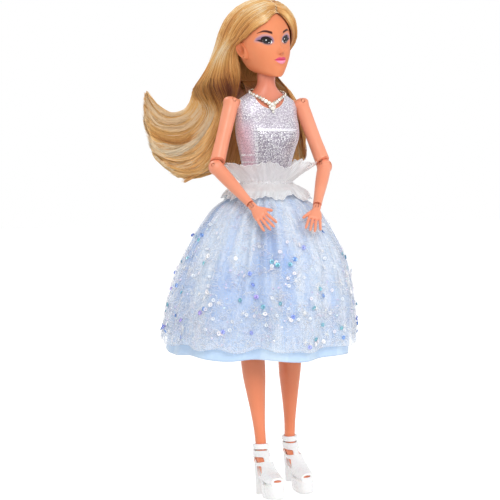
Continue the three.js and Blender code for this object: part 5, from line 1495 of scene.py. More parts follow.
dense = necklace_line(np.linspace(-np.pi / 2, 1.5 * np.pi, 2001))
run = np.append(0, np.cumsum(np.linalg.norm(np.diff(dense, axis=0), axis=1)))
stone_count = 2 * int(run[-1] / 2 / 2.05)
spots = np.interp(np.arange(stone_count) / stone_count * run[-1], run, np.arange(2001))
stones = np.stack([np.interp(spots, np.arange(2001), dense[:, k]) for k in range(3)], axis=-1)
nearness = np.exp(-(np.minimum(np.arange(stone_count), stone_count - np.arange(stone_count)) / 5.0) ** 2)
sizes = 0.82 + 0.32 * nearness
drop_rows = []
for k, (across, down, big) in enumerate(((0, 2.3, 1.45), (-1.7, 1.3, 0.75), (1.7, 1.3, 0.75), (0, 4.6, 0.7))):
    z = stones[0][2] - down
    drop_rows.append(np.append(body_point(np.array(across / 12.0), np.array(z), NECKLACE_OUT), big))
drops = np.array(drop_rows)
stones = np.vstack([stones, drops[:, :3]])
sizes = np.append(sizes, drops[:, 3])
aims = outward_of(stones)
aims[:, 2] = 0.25
aims /= np.linalg.norm(aims, axis=1, keepdims=True)
stone_tints = np.array([linear(code) for code in ("#fdfbf6", "#b9b2a6", "#ece7dc")])[np.arange(len(stones)) % 3]
metal_tints = np.array([linear(code) for code in ("#b3aa98", "#c9b88e", "#a8a297")])[np.arange(len(stones)) % 3]
rhinestone = tinted("rhinestone_glass", 0.08, 0.35, coat=0.8, spec=0.8)
claw_metal = tinted("claw_metal", 0.22, 0.9)
chain = np.vstack([dense[::20], dense[:1]])[None]
for name, template, finish, tints, smooth in (
        ("necklace_stones", gem_template(), rhinestone, stone_tints, False),
        ("necklace_claws", claw_template(), claw_metal, metal_tints, True)):
    made = on_points(name, stones, aims, sizes, template, finish, tints, seed=9, smooth=smooth)
    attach(made, "torso")
chain_wire = on_lines("necklace_wire", chain, 0.35, claw_metal, sides=6,
                      tints=np.tile(linear("#d6d1c6"), (chain.shape[1], 1)))
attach(chain_wire, "torso")
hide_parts("necklace", "pendant")

# %% [markdown]
# ## Head
# The head is soft vinyl cast in one piece. Rings of points follow the skull and the jaw from one table,
# closer together over the face. Nose, lips, sockets and cheeks are swellings and dents added to the
# front. The face sits a little tilted in the head, so its features are placed in their own turned
# coordinates.

# %% Head shape
CHIN, HEAD_HIGH, HEAD_WIDE, HEAD_DEEP, HEAD_TURN, TILT = 88.5, 43.5, 16.5, 15.5, 20, math.radians(6.5)
HEAD_ROWS = [
    [0, 0.2, 0.2, -0.58], [0.035, 0.4, 0.46, -0.34], [0.1, 0.6, 0.74, -0.1], [0.19, 0.76, 0.9, 0.02],
    [0.25, 0.85, 0.95, 0.07], [0.31, 0.92, 0.98, 0.1], [0.37, 0.97, 1, 0.12], [0.43, 0.99, 1, 0.14],
    [0.49, 1, 1.01, 0.15], [0.56, 1, 1.03, 0.17], [0.64, 0.98, 1.04, 0.19], [0.73, 0.93, 1.01, 0.22],
    [0.81, 0.85, 0.93, 0.24], [0.885, 0.7, 0.78, 0.26], [0.95, 0.46, 0.52, 0.27], [0.985, 0.24, 0.28, 0.28],
    [1.0, 0.04, 0.05, 0.28]]
head_pose = turned(UPWARDS, HEAD_TURN)


def face_coordinates(x, z):
    """Places on the front of the head in the tilted coordinates of the face."""
    return (x * math.cos(TILT) + (z - 97) * math.sin(TILT), 97 + (z - 97) * math.cos(TILT) - x * math.sin(TILT))


def spot(x, z, cx, cz, rx, rz):
    return np.exp(-(((x - cx) / rx) ** 2) - ((z - cz) / rz) ** 2)


def face_relief(x, z):
    fx, fz = face_coordinates(x, z)
    ax = np.abs(fx)
    relief = 2.1 * spot(fx, fz, 0, 103.3, 1.55, 2.1) + 0.75 * spot(ax, fz, 1.5, 102.6, 0.85, 0.95)
    relief += 1.35 * np.exp(-(fx / 1.7) ** 2) * smooth_step(114.5, 104.5, fz) * smooth_step(101.0, 103.5, fz)
    relief += 0.55 * spot(fx, fz, 0, 113, 5, 3)
    relief += 0.55 * spot(fx, fz, 0, 99.3, 3.0, 0.75) + 0.85 * spot(fx, fz, 0, 97.1, 2.7, 0.95)
    relief -= 0.45 * np.exp(-((fz - 98.25 - 0.012 * fx**2) / 0.28) ** 2) * smooth_step(5.0, 3.6, ax)
    relief -= 0.25 * spot(fx, fz, 0, 100.8, 0.6, 0.8)
    relief -= 0.35 * spot(fx, fz, 0, 94.9, 3.2, 0.9)
    relief += 0.7 * spot(fx, fz, 0, 91.6, 3.6, 2.6)
    relief += 0.5 * spot(ax, fz, 9.2, 101.5, 4.5, 4.0)
    relief -= 1.9 * spot(ax, fz, 6.6, 110.2, 4.2, 3.4) + 0.3 * spot(ax, fz, 3.3, 108.6, 1.2, 1.8)
    relief += 0.75 * spot(ax, fz, 6.8, 110.0, 3.0, 2.1)
    relief += 0.35 * np.exp(-((fz - 112.7 - 0.2 * bulge(ax, 7.2, 3)) / 0.5) ** 2) * spot(ax, 0, 7.2, 0, 3.4, 1)
    relief += 0.45 * spot(ax, fz, 7.4, 116.2, 4.6, 1.6)
    return relief


def head_skin(angle, z):
    wide, deep, back = np.moveaxis(eased(HEAD_ROWS, (z - CHIN) / HEAD_HIGH), -1, 0)
    x = wide * HEAD_WIDE * np.cos(angle)
    y = back * HEAD_DEEP + deep * HEAD_DEEP * np.sin(angle)
    front = smooth_step(0.05, 0.5, -np.sin(angle))
    return np.stack(np.broadcast_arrays(x, y - front * face_relief(x, z), z), axis=-1)


def head_angles(count, crowd=0.62):
    """Turns round the head, closer together at the face (-90 degrees)."""
    t = circle(count)
    return -np.pi / 2 + t - crowd * np.sin(t)


angle, level = np.meshgrid(head_angles(300), np.linspace(CHIN + 0.05, CHIN + HEAD_HIGH - 0.1, 250))
head = working(loft(head_skin(angle, level)))
cut(head, working(rod(7.3, (0, 0, 80), (0, 0, 93.6), sides=64)), working(rod(2.75, (0, 0, 90), (0, 0, 98))),
    working(rod(4.9, (0, 0, 96.5), (0, 0, 100.4))))

# %% [markdown]
# ## Painted face
# The face is printed on the vinyl in a few flat inks with soft airbrushed eyeshadow above the eyes. Each
# print colour is a mask over the points of the mesh, laid over the ones before: eyeshadow, whites, iris,
# lights, lash line, brows and lips. Painted shade in the nostrils and a painted highlight on the lower lip
# are laid the same way. The result is a colour attribute, and its alpha says where there is ink or paint.

# %% Face paint
mesh = head.data
points = places_of(mesh)
fx, fz = face_coordinates(points[:, 0], points[:, 2])
ax, on_front = np.abs(fx), points[:, 1] < 2
EYE_X, EYE_Z = 6.7, 110.1
ex, ez = ax - EYE_X, fz - EYE_Z
ink = np.zeros((len(points), 4))


def lay(code, mask):
    """Lays one colour over what is painted so far."""
    mask = np.clip(mask, 0, 1) * on_front
    colour = np.array(linear(code)[:3])
    total = mask + ink[:, 3] * (1 - mask)
    share = np.where(total > 1e-6, mask / np.maximum(total, 1e-6), 0)[:, None]
    ink[:, :3] = colour * share + ink[:, :3] * (1 - share)
    ink[:, 3] = total


def edge(distance, soft=0.16):
    """1 inside (positive distance), 0 outside, with a soft printed edge."""
    return smooth_step(-soft, soft, distance)


arch = np.sqrt(np.clip(1 - ((ex - 0.1) / 3.05) ** 2, 0, 1))
corner = -0.12 + 0.17 * ex
upper_lid, lower_lid = corner + 2.05 * arch**1.1, corner - 1.65 * arch**1.15
in_width = edge(ex + 2.9) * edge(3.1 - ex)
open_eye = edge(upper_lid - ez) * edge(ez - lower_lid) * in_width
crease = np.sqrt(np.clip(1 - ((ex - 1.3) / 5.4) ** 2, 0, 1))
lay("#cf9c9a", 0.9 * smooth_step(0.0, 1.6, 5.3 * crease**1.2 - ez) * smooth_step(-2.0, 0.2, ez - corner)
    * edge(5.0 - np.abs(ex - 1.2), 0.8))
lay("#8f7090", 0.85 * smooth_step(0.0, 1.2, 4.0 * crease - ez) * smooth_step(-0.9, 0.3, ez - corner)
    * edge(4.6 - np.abs(ex - 0.9), 0.7))
lay("#46465a", 0.95 * smooth_step(0.1, 1.1, upper_lid + 1.35 - ez) * edge(ez - corner - 0.1, 0.3)
    * edge(3.9 - np.abs(ex - 0.7), 0.5))
lay("#8f7686", 0.5 * smooth_step(0.9, 0.0, np.abs(ez - lower_lid + 0.35)) * edge(3.4 - np.abs(ex - 0.6), 0.6)
    * (ez < corner))
lay("#f6f1f0", open_eye)
lay("#d9b9b4", open_eye * smooth_step(0.8, 0.0, upper_lid - ez) * 0.6)
iris = np.hypot(ex, ez - 0.05)
lay("#140e0f", open_eye * edge(2.3 - iris, 0.14))
lay("#221b1e", open_eye * edge(2.0 - iris, 0.25))
lay("#8a828a", open_eye * edge(1.8 - iris, 0.3) * smooth_step(-0.5, -1.6, ez) * 0.25)
lay("#0e090a", open_eye * edge(1.2 - np.hypot(ex, ez - 0.15), 0.16))
lights = np.sign(fx)
lay("#ffffff", open_eye * edge(0.36 - np.hypot(fx - EYE_X * lights + 0.45, ez - 0.7), 0.12))
lay("#e9e4ea", open_eye * edge(0.26 - np.hypot(fx - EYE_X * lights - 0.9, ez + 0.95), 0.12))
thick = 0.5 + 0.6 * smooth_step(-1.5, 3.4, ex)
lash = smooth_step(thick + 0.12, thick - 0.12, np.abs(ez - upper_lid - 0.16)) * edge(3.3 - ex) * edge(ex + 3.0)
lay("#1c0d0c", lash)
wing_line = 0.2 + 0.24 * (ex - 2.4)
wing_thick = 0.7 * smooth_step(5.9, 3.0, ex)
lay("#2a1412", smooth_step(wing_thick + 0.1, wing_thick - 0.1, np.abs(ez - wing_line))
    * edge(ex - 2.2) * edge(5.6 - ex))
lay("#5b3530", 0.8 * smooth_step(0.3, 0.08, np.abs(ez - lower_lid)) * edge(3.1 - ex) * edge(ex + 1.8, 0.8))
brow_mid = 114.6 + 1.5 * np.exp(-((ax - 8.3) / 3.2) ** 2) - 0.35 * smooth_step(4.6, 3.6, ax)
brow_half = 0.62 * smooth_step(12.4, 6.6, ax) + 0.1
lay("#451a0d", smooth_step(brow_half + 0.16, brow_half - 0.16, np.abs(fz - brow_mid))
    * edge(ax - 3.9, 0.3) * edge(11.4 - ax, 0.3))
fx = fx - 0.6  # the lips sit a little off the middle
mouth_line = 98.25 + 0.012 * fx**2
bow = 1.85 * np.sqrt(np.clip(1 - (fx / 4.5) ** 2, 0, 1)) ** 1.3 - 0.5 * np.exp(-((fx / 0.75) ** 2))
pout = 2.35 * np.clip(1 - (fx / 4.4) ** 2, 0, 1) ** 0.75
lay("#dd4f78", edge(mouth_line + bow - fz, 0.2) * edge(fz - mouth_line, 0.12) * edge(4.5 - ax, 0.3))
lay("#f68bab", edge(fz - mouth_line + pout, 0.2) * edge(mouth_line - fz, 0.12) * edge(4.4 - ax, 0.3))
# a pale spot in the middle of the lower lip: a painted highlight
lay("#ffb9cb", 0.6 * spot(fx, fz, -0.6, 97.0, 1.7, 0.5) * (ink[:, 3] > 0.5))
lay("#c83c5c", smooth_step(0.36, 0.1, np.abs(fz - mouth_line)) * edge(4.3 - ax, 0.4))
# two dark spots under the nose: painted shade in the nostrils
lay("#b8562f", 0.75 * spot(np.abs(fx + 0.6), fz, 0.95, 101.75, 0.5, 0.32))
attributed(mesh, ink=ink)


def face_vinyl():
    made, tree, shader = material("face_vinyl")  # soft PVC, matt, with printed inks
    where = object_places(tree)
    drift = noise(tree, where, 70, 3)
    tone = ramp(tree, drift, (0.3, "#ea9166"), (0.7, "#e4895e"))
    # the attribute holds the printed inks, painted shade in the nostrils and on the ears, and a painted highlight on
    # the lower lip
    printed = node(tree, "ShaderNodeAttribute", attribute_name="ink")
    gloss = remapped(tree, printed.outputs["Alpha"], 0.0, 1.0, 0.5, 0.3)
    speck = reckoned(tree, "MULTIPLY", noise(tree, where, 500, 2), 0.08)
    connect(tree, shader, {
        "Base Color": blended(tree, printed.outputs["Alpha"], tone, printed.outputs["Color"]),
        "Roughness": reckoned(tree, "ADD", gloss, speck), "Specular IOR Level": 0.22,
        "Subsurface Weight": 0.08, "Subsurface Scale": 0.003, "Subsurface Radius": (1.0, 0.35, 0.2)})
    bumped(tree, shader, noise(tree, where, 2400, 2), 0.1, 0.00006)
    return made


vinyl = face_vinyl()
finished(head, "head_vinyl", vinyl, "head", head_pose, ["head"], sharp=50)

# %% [markdown]
# ## Ears
# An ear is a shallow shell: a rolled rim, a hollow inside it and a lobe with a hole for an earring. It is
# a field of heights over an ellipse, closed by a back that is sunk into the head.

# %% Ears
def ear_shape(side):
    radial = np.linspace(0, 1, 40)[1:]
    turn = circle(96)
    s, t = np.meshgrid(radial, turn, indexing="ij")
    y, z = s * np.cos(t), s * np.sin(t)
    dome = 1.75 * np.sqrt(np.clip(1 - s**2, 0, 1)) ** 0.7
    rim = 0.6 * bulge(s, 0.8, 0.13) * smooth_step(-0.85, -0.3, z + 0.35 * y)
    hollow = -1.25 * np.exp(-(((y + 0.12) / 0.42) ** 2) - ((z + 0.02) / 0.42) ** 2)
    fold = 0.35 * np.exp(-(((y - 0.28 - 0.2 * z) / 0.13) ** 2)) * smooth_step(-0.4, 0.1, z) * smooth_step(0.8, 0.5, s)
    lobe_hole = -0.9 * np.exp(-((y + 0.1) ** 2 + (z + 0.74) ** 2) / 0.008)
    height = dome + rim + hollow + fold + lobe_hole
    taper = 1 - 0.22 * smooth_step(0.2, -1, z)
    front = np.stack([side * (16.1 + height + 0.7 * y), 3.5 + 3.9 * taper * y + 2.2 * z, 104.2 + 5.4 * z], axis=-1)
    rings = [front[k] for k in range(len(radial))]
    back = front[-1].copy()
    back[:, 0] = side * 14.0
    rings.append(back)
    middle = rings[-1].mean(0)
    rings.append(middle + (rings[-1] - middle) * 0.4)
    points, quads, tris = loft(rings)
    points[len(rings) * 96] = [side * (16.1 + 1.75 - 1.2), 3.5, 104.2]
    return working((points, quads, tris))


for side, label in ((-1, "right"), (1, "left")):
    ear = ear_shape(side)
    coordinates = places_of(ear.data)
    # painted shade: the whole ear a little darker than the face and more so in its hollow, and a dark spot of painted
    # shadow in the earring hole
    dark = np.zeros((len(coordinates), 4))
    hole = np.exp(-(((coordinates[:, 1] - 1.5) / 0.42) ** 2) - ((coordinates[:, 2] - 100.2) / 0.42) ** 2)
    hollow = spot(coordinates[:, 1], coordinates[:, 2], 3.0, 104.1, 2.3, 3.1)
    ear_shadow_colour, hole_shadow_colour = np.array(linear("#b95a30")[:3]), np.array(linear("#5a2a18")[:3])
    dark[:, :3] = ear_shadow_colour * (1 - hole[:, None]) + hole_shadow_colour * hole[:, None]
    dark[:, 3] = np.maximum(hole, 0.25 + 0.55 * hollow)
    attributed(ear.data, ink=dark)
    finished(ear, label + "_ear", vinyl, "head", head_pose, sharp=60)

# %% [markdown]
# ## Hair: the shape it flows over
# The hair is nylon fibre rooted in the scalp, combed from a parting, held back behind the right ear and
# blown aside. It could be a particle system, but plain threads that follow one flow keep their place in
# every export. The upper hair flows over a crown surface, which stands off the skull, from the parting
# (start) to the hairline or the nape (end). A place on it is `across`, from the hairline (0) to the
# middle of the back (1), and `down`, from the parting (0) to the lower edge (1).

# %% Crown of hair
HAIR_MIDDLE = np.array([0, 6, 112.0])
HAIR_LOW = {-1: [[86, 25.5, 26, 11], [92, 24.8, 26, 11.2], [98, 24.2, 25.6, 11.2], [105, 24, 25.4, 10.6]],
            1: [[86, 15, 19, 13.5], [92, 16.4, 20.5, 13], [98, 18.4, 22.4, 12.2], [105, 21.2, 24.2, 11]]}
HAIR_ROWS = [  # height, half width, half depth, middle from front to back
    [112, 24.2, 25.6, 8.6],
    [119, 22.8, 24.4, 7], [125.6, 19.9, 21.8, 5.8], [129, 17.2, 19.2, 5.3], [132.3, 13.4, 15.4, 4.8],
    [135, 8.2, 10.5, 4.4], [136.4, 4, 6, 4], [137, 0.5, 0.5, 4]]
HAIRLINES = {
    -1: [[0, -0.6, -9.3, 126.7], [0.12, -4.7, -9.9, 124.5], [0.22, -6.9, -10.6, 121.9], [0.36, -11.1, -9, 118.8],
         [0.48, -13.9, -6.7, 116.4], [0.6, -15.9, -3.5, 113.5], [0.7, -16.9, -0.9, 111.3],
         [0.8, -17.3, 3.6, 109.4], [0.88, -17.6, 8.3, 105.5], [1, -17, 11, 97.5]],
    1: [[0, 0.4, -9.4, 126.6], [0.12, 2.6, -10.2, 125.1], [0.24, 5.6, -10.6, 122.9], [0.38, 9.4, -10.4, 118.8],
        [0.5, 12.6, -8.4, 115], [0.62, 15.2, -5.4, 111.5], [0.75, 16.6, -2.4, 107.5], [0.88, 17, 2.5, 103.5],
        [1, 16.5, 9, 98]]}
BACK_LINE = [[0, 0, 10, 134], [0.2, 0, 20, 130], [0.4, 0, 28, 123], [0.6, 0, 33, 114], [0.8, 0, 34, 105],
             [1, 0, 31, 94]]


def unit(vectors):
    return vectors / (np.linalg.norm(vectors, axis=-1, keepdims=True) + 1e-12)


def reach_of(rows, way, far=45.0):
    """Distance from the middle of the head to a surface of stacked ellipses, by halving."""
    near, far = np.zeros(way.shape[:-1]), np.full(way.shape[:-1], far)
    for _ in range(16):
        middle = (near + far) / 2
        point = HAIR_MIDDLE + way * middle[..., None]
        wide, deep, back = np.moveaxis(eased(rows, point[..., 2]), -1, 0)
        inside = (point[..., 0] / wide) ** 2 + ((point[..., 1] - back) / deep) ** 2 < 1
        inside &= (point[..., 2] < rows[-1][0]) & (point[..., 2] > rows[0][0] - 8)
        near, far = np.where(inside, middle, near), np.where(inside, far, middle)
    return near


SKULL_ROWS = [[CHIN + HEAD_HIGH * z, HEAD_WIDE * max(w, 0.05), HEAD_DEEP * max(d, 0.05), HEAD_DEEP * b]
              for z, w, d, b in HEAD_ROWS]


def grooves(across, seed):
    """Slow swells across the flow, from combing, between -1 and 1."""
    return (np.sin(37 * across + seed) + 0.7 * np.sin(71 * across + 2.1 * seed)
            + 0.5 * np.sin(113 * across + seed)) / 2.2


def crown_point(side, across, down, height):
    """Places of the upper hair, in millimetres, on the turned head; height 1 is the outer layer."""
    front, back = eased(HAIRLINES[side], down) - HAIR_MIDDLE, eased(BACK_LINE, down) - HAIR_MIDDLE
    a, b = unit(front), unit(back)
    turn = np.arccos(np.clip((a * b).sum(-1), -1, 1))[..., None]
    share = across[..., None]
    way = unit((np.sin((1 - share) * turn) * a + np.sin(share * turn) * b) / np.sin(turn))
    skull, crown = reach_of(SKULL_ROWS, way), reach_of(HAIR_LOW[side] + HAIR_ROWS, way)
    wide = 0.2 if side < 0 else 0.13
    lift = (0.1 + 0.9 * smooth_step(0, wide, across)) * (0.66 + 0.34 * smooth_step(0, 0.22, down))
    swell = 0.22 * grooves(across, 1.3 * side + 2) * smooth_step(0.05, 0.5, down)
    reach = np.maximum(skull + 0.7, skull + 0.8 + height * (lift * (crown - skull - 0.8) + swell))
    point = HAIR_MIDDLE + way * reach[..., None]
    point = point @ head_pose[:3, :3].T
    if side < 0:  # the hair begins to blow aside above the neck
        blown = 3.2 * (np.maximum(113 - point[..., 2], 0) / 16) ** 2 * smooth_step(0.1, 0.35, across)
        blown = blown * smooth_step(1, 0.75, across)
        point += blown[..., None] * np.array([-0.94, 0.342, 0])
    return point


# %% [markdown]
# ## Hair: the lengths
# Below the neck the hair spreads like a wing towards the doll's right, with one lock over the left
# shoulder. The flow is a fan of routes, each a row of points. A thread picks its own route between two
# neighbours, so the fan has no gaps, and it leaves the crown in the direction in which it arrives there.
# The front layer runs along the routes and the back layer behind them.

# %% Routes of the lengths
ROUTES = {
    0.0: [(-27.8, 14, 108.7), (-30.3, 18, 98.5), (-34.9, 22, 87.7), (-38.4, 25, 77.8), (-42.8, 27, 70.0),
          (-51.9, 29, 67.2), (-61.3, 30, 72.3), (-67.7, 30, 79.9)],
    0.2: [(-25.6, 13, 105.6), (-27.4, 17, 94.8), (-31.6, 21, 82.7), (-36.2, 25, 71.7), (-43.2, 28, 62.8),
          (-54.3, 30, 60.2), (-63.8, 31, 66.3), (-69.1, 32, 76.3)],
    0.4: [(-22.0, 12, 104.4), (-23.3, 16, 92.4), (-27.5, 20, 79.0), (-32.2, 24, 65.4), (-41.2, 27, 55.1),
          (-52.3, 29, 50.9), (-62.8, 31, 53.9), (-69.0, 32, 62.6)],
    0.55: [(-18.4, 11, 102.6), (-19.7, 15, 90.0), (-23.3, 19, 75.3), (-27.9, 23, 59.2), (-36.9, 26, 46.1),
           (-48.1, 29, 40.6), (-58.6, 30, 41.2), (-66.1, 32, 46.6)],
    0.7: [(-14.8, 10, 100.8), (-15.9, 14.5, 87.5), (-19.0, 18.5, 71.6), (-23.3, 21.5, 54.2), (-31.0, 24.5, 39.2),
          (-40.6, 27, 33.0), (-51.1, 29, 32.8), (-61.2, 30, 36.6)],
    0.85: [(-11.5, 10, 98.4), (-12.1, 14, 85.1), (-14.7, 17.5, 69.2), (-18.5, 20, 51.7), (-23.7, 22.5, 37.9),
           (-30.7, 25, 30.3), (-38.0, 27, 26.6), (-44.3, 28, 24.7)],
    1.0: [(-8.9, 10, 96.0), (-8.1, 14, 84.0), (-9.7, 17, 69.2), (-11.7, 19, 53.6), (-13.2, 20.5, 42.9),
          (-14.7, 22, 36.6), (-17.0, 23, 32.9), (-20.7, 24, 30.3)],
    1.3: [(2.9, 15, 96.8), (5.0, 17, 84.5), (6.8, 18, 72.6), (7.6, 18.5, 62.0), (7.2, 19, 51.9),
          (6.2, 20, 44.3), (4.8, 20, 37.9), (2.5, 21, 33.5)],
    1.6: [(16.0, 13, 102.8), (15.0, 14.5, 89.7), (19.6, 15, 79.9), (25.3, 14.5, 69.9), (28.2, 14.5, 59.8),
          (29.8, 14.5, 50.0), (30.6, 14.5, 42.0), (30.4, 14, 36.0)],
    1.7: [(17.8, 12, 103.8), (17.3, 13.5, 91.0), (22.4, 14, 80.7), (27.8, 14, 70.7), (30.4, 14.5, 60.8),
          (31.6, 14.5, 51.5), (32.0, 14.5, 44.5), (31.6, 14, 39.5)]}
ROUTE_TABLE = [[key] + list(np.ravel(row)) for key, row in ROUTES.items()]
ROUTE_OF = {  # across -> route, and 0 for the front layer or 1 for the back layer
    -1: [[0, 0.84, 0], [0.12, 0.72, 0], [0.25, 0.52, 0], [0.4, 0.28, 0.0], [0.52, 0.08, 0.08], [0.6, 0.0, 0.4],
         [0.68, 0.12, 0.9], [0.8, 0.45, 1], [0.9, 0.82, 1], [1, 1.24, 1]],
    1: [[0, 1.64, 0], [0.3, 1.7, 0.2], [0.5, 1.66, 0.8], [0.75, 1.48, 1], [1, 1.08, 1]]}
WING_THICK = 8.0


def on_route(control, share):
    """Places along rows of eight control points: (lines, 8, 3) and (lines, places)."""
    spans = control.shape[1] - 1
    low = np.clip(np.floor(share * spans).astype(int), 0, spans - 1)
    t = (share * spans - low)[..., None]
    line = np.arange(len(control))[:, None]
    p = [control[line, np.clip(low + k, 0, spans)] for k in (-1, 0, 1, 2)]
    return 0.5 * (2 * p[1] + (p[2] - p[0]) * t + (2 * p[0] - 5 * p[1] + 4 * p[2] - p[3]) * t**2
                  + (3 * p[1] - p[0] - 3 * p[2] + p[3]) * t**3)


def flowing(side, across, height, trim, root, over=40, along=64):
    """Whole paths of hairs, in millimetres: over the crown, and then along a route to the tip."""
    down = root[:, None] + (1 - root[:, None]) * np.linspace(0, 1, over)
    upper = crown_point(side, np.repeat(across[:, None], over, axis=1), down,
                        np.repeat(height[:, None], over, axis=1))
    key, layer = np.moveaxis(eased(ROUTE_OF[side], across), -1, 0)
    control = eased(ROUTE_TABLE, np.clip(key, 0, 1.7)).reshape(len(across), 8, 3)
    test = np.linspace(0, 0.35, 30)
    gap = np.abs(on_route(control, np.tile(test, (len(across), 1)))[..., 2] - upper[:, -1, 2][:, None])
    start = test[gap.argmin(axis=1)]
    run = np.linspace(0, 1, along)[None, :]
    share = start[:, None] + (trim - start)[:, None] * run
    lower = on_route(control, share)
    thick = WING_THICK * layer
    lower[..., 1] += thick[:, None] * (1 - 0.55 * share) + ((1 - height) * (1.6 - 3.2 * layer))[:, None]
    leaving = unit(upper[:, -1] - upper[:, -4])
    length = np.linalg.norm(np.diff(lower, axis=1), axis=-1).sum(axis=1)
    straight = upper[:, -1][:, None] + leaving[:, None] * (length[:, None] * run)[..., None]
    weight = smooth_step(0, 0.19, share - start[:, None])[..., None]
    lower = straight * (1 - weight) + lower * weight
    return np.concatenate([upper, lower[:, 1:]], axis=1), np.concatenate([down - 1, share[:, 1:]], axis=1)


def parted(paths, marks, level, counts):
    """Cuts each path where it first passes a level and spaces the points of both parts evenly."""
    uppers, lowers = [], []
    for path, mark in zip(paths, marks):
        run = np.concatenate([[0], np.cumsum(np.linalg.norm(np.diff(path, axis=0), axis=1))])
        under = np.flatnonzero(path[:, 2] < level)
        k = under[0] if len(under) else len(path) - 1
        share = (path[k - 1, 2] - level) / max(path[k - 1, 2] - path[k, 2], 1e-9) if k else 0
        split = run[k - 1] + share * (run[k] - run[k - 1]) if k else 0.0
        for target, low, high, count in ((uppers, 0, split, counts[0]), (lowers, split, run[-1], counts[1])):
            at = np.linspace(low, high, count)
            target.append(np.stack([np.interp(at, run, column) for column in (*path.T, mark)], axis=-1))
    return np.array(uppers), np.array(lowers)


# %% [markdown]
# ## Hair: colour
# The fibre is dyed golden blond, and light and dark shades are mixed lock by lock. It is paler at the
# tips. Painted highlights lie where it bends over the crown, beside the ear and across the lengths, and
# painted light lifts it behind the neck and on the lock over the left shoulder. Painted shade makes it
# brown at the neck, where it lies in its own shade, and darker along the hairline. The colour is an
# attribute of each point of each thread.

# %% Hair colour
NECK_SPLIT = 88.0
SHADES = [linear(code)[:3] for code in ("#86503a", "#c8874c", "#ecb26c", "#fad08f", "#fff0d4")]


def blond_lit_and_shaded(points, mark, tone):
    """Colours of points with their `mark` (-1 parting, 0 neck, 1 tip) and the tone of their thread."""
    x, y, z = np.moveaxis(points, -1, 0)
    seen = 0.94 * x - 0.342 * y
    value = tone + np.zeros_like(z)
    # a painted highlight across the crown, with a little painted shade just below it
    value = value + 1.5 * bulge(mark, -0.72, 0.13) - 0.3 * bulge(mark, -0.4, 0.1)
    # a painted highlight on the outer hair at the height of the ear, on the doll's right
    value = value + 1.5 * bulge(z, 103.5, 7) * smooth_step(-19, -26, seen)
    value = value - 1.6 * bulge(z, 80.5, 8) * smooth_step(-50, -42, seen) * smooth_step(2, -6, seen)
    # painted light: lighter on the hair behind the neck and jaw, lifting the shade there
    value += (0.5 * smooth_step(-23, -15, seen) * smooth_step(8, 2, seen) * smooth_step(68, 80, z)
              * smooth_step(108, 100, z))
    value += 1.05 * smooth_step(-28, -40, seen) * smooth_step(82, 71, z)
    # painted light: lighter on the lock over the left shoulder, lifting the shade there
    value += 0.7 * smooth_step(4, 10, seen) * smooth_step(95, 85, z)
    # a painted highlight across the lengths, at a height of about 63 mm
    value += 0.5 * bulge(z, 63, 9) * smooth_step(0.1, 0.3, mark)
    value -= 0.8 * bulge(seen, -27, 6) * smooth_step(62, 48, z)
    value = value + 0.8 * smooth_step(0.86, 1.0, mark) * smooth_step(-30, -50, seen)
    colour = np.zeros(points.shape[:-1] + (4,))
    at = np.clip(value, 0, 4)
    for channel in range(3):
        colour[..., channel] = np.interp(at, range(5), [shade[channel] for shade in SHADES])
    golden = (smooth_step(-26, -50, seen) * smooth_step(40, 60, z) * smooth_step(96, 84, z) * 0.45)[..., None]
    colour[..., :3] = colour[..., :3] * (1 - golden) + np.array(linear("#f0bc74")[:3]) * golden
    colour[..., 3] = 1
    return colour


def hair_nylon():
    made, tree, shader = material("hair_nylon")  # drawn nylon fibre: smooth, with a silky gleam
    tint = point_tint(tree)
    where = object_places(tree)
    cloud = noise(tree, where, 260, 3)
    darker = node(tree, "ShaderNodeHueSaturation", {"Color": tint, "Value": 0.88, "Saturation": 1.05}).outputs[0]
    connect(tree, shader, {"Base Color": blended(tree, cloud, darker, tint), "Specular IOR Level": 0.4,
                           "Roughness": ramp(tree, cloud, (0.3, 0.34), (0.7, 0.46))})
    return made


fibre = hair_nylon()


HAIR_PARTS = (("upper", ("head", "neck"), (109, NECK_SPLIT)), ("lower", ("neck", "torso"), (NECK_SPLIT, 70)))


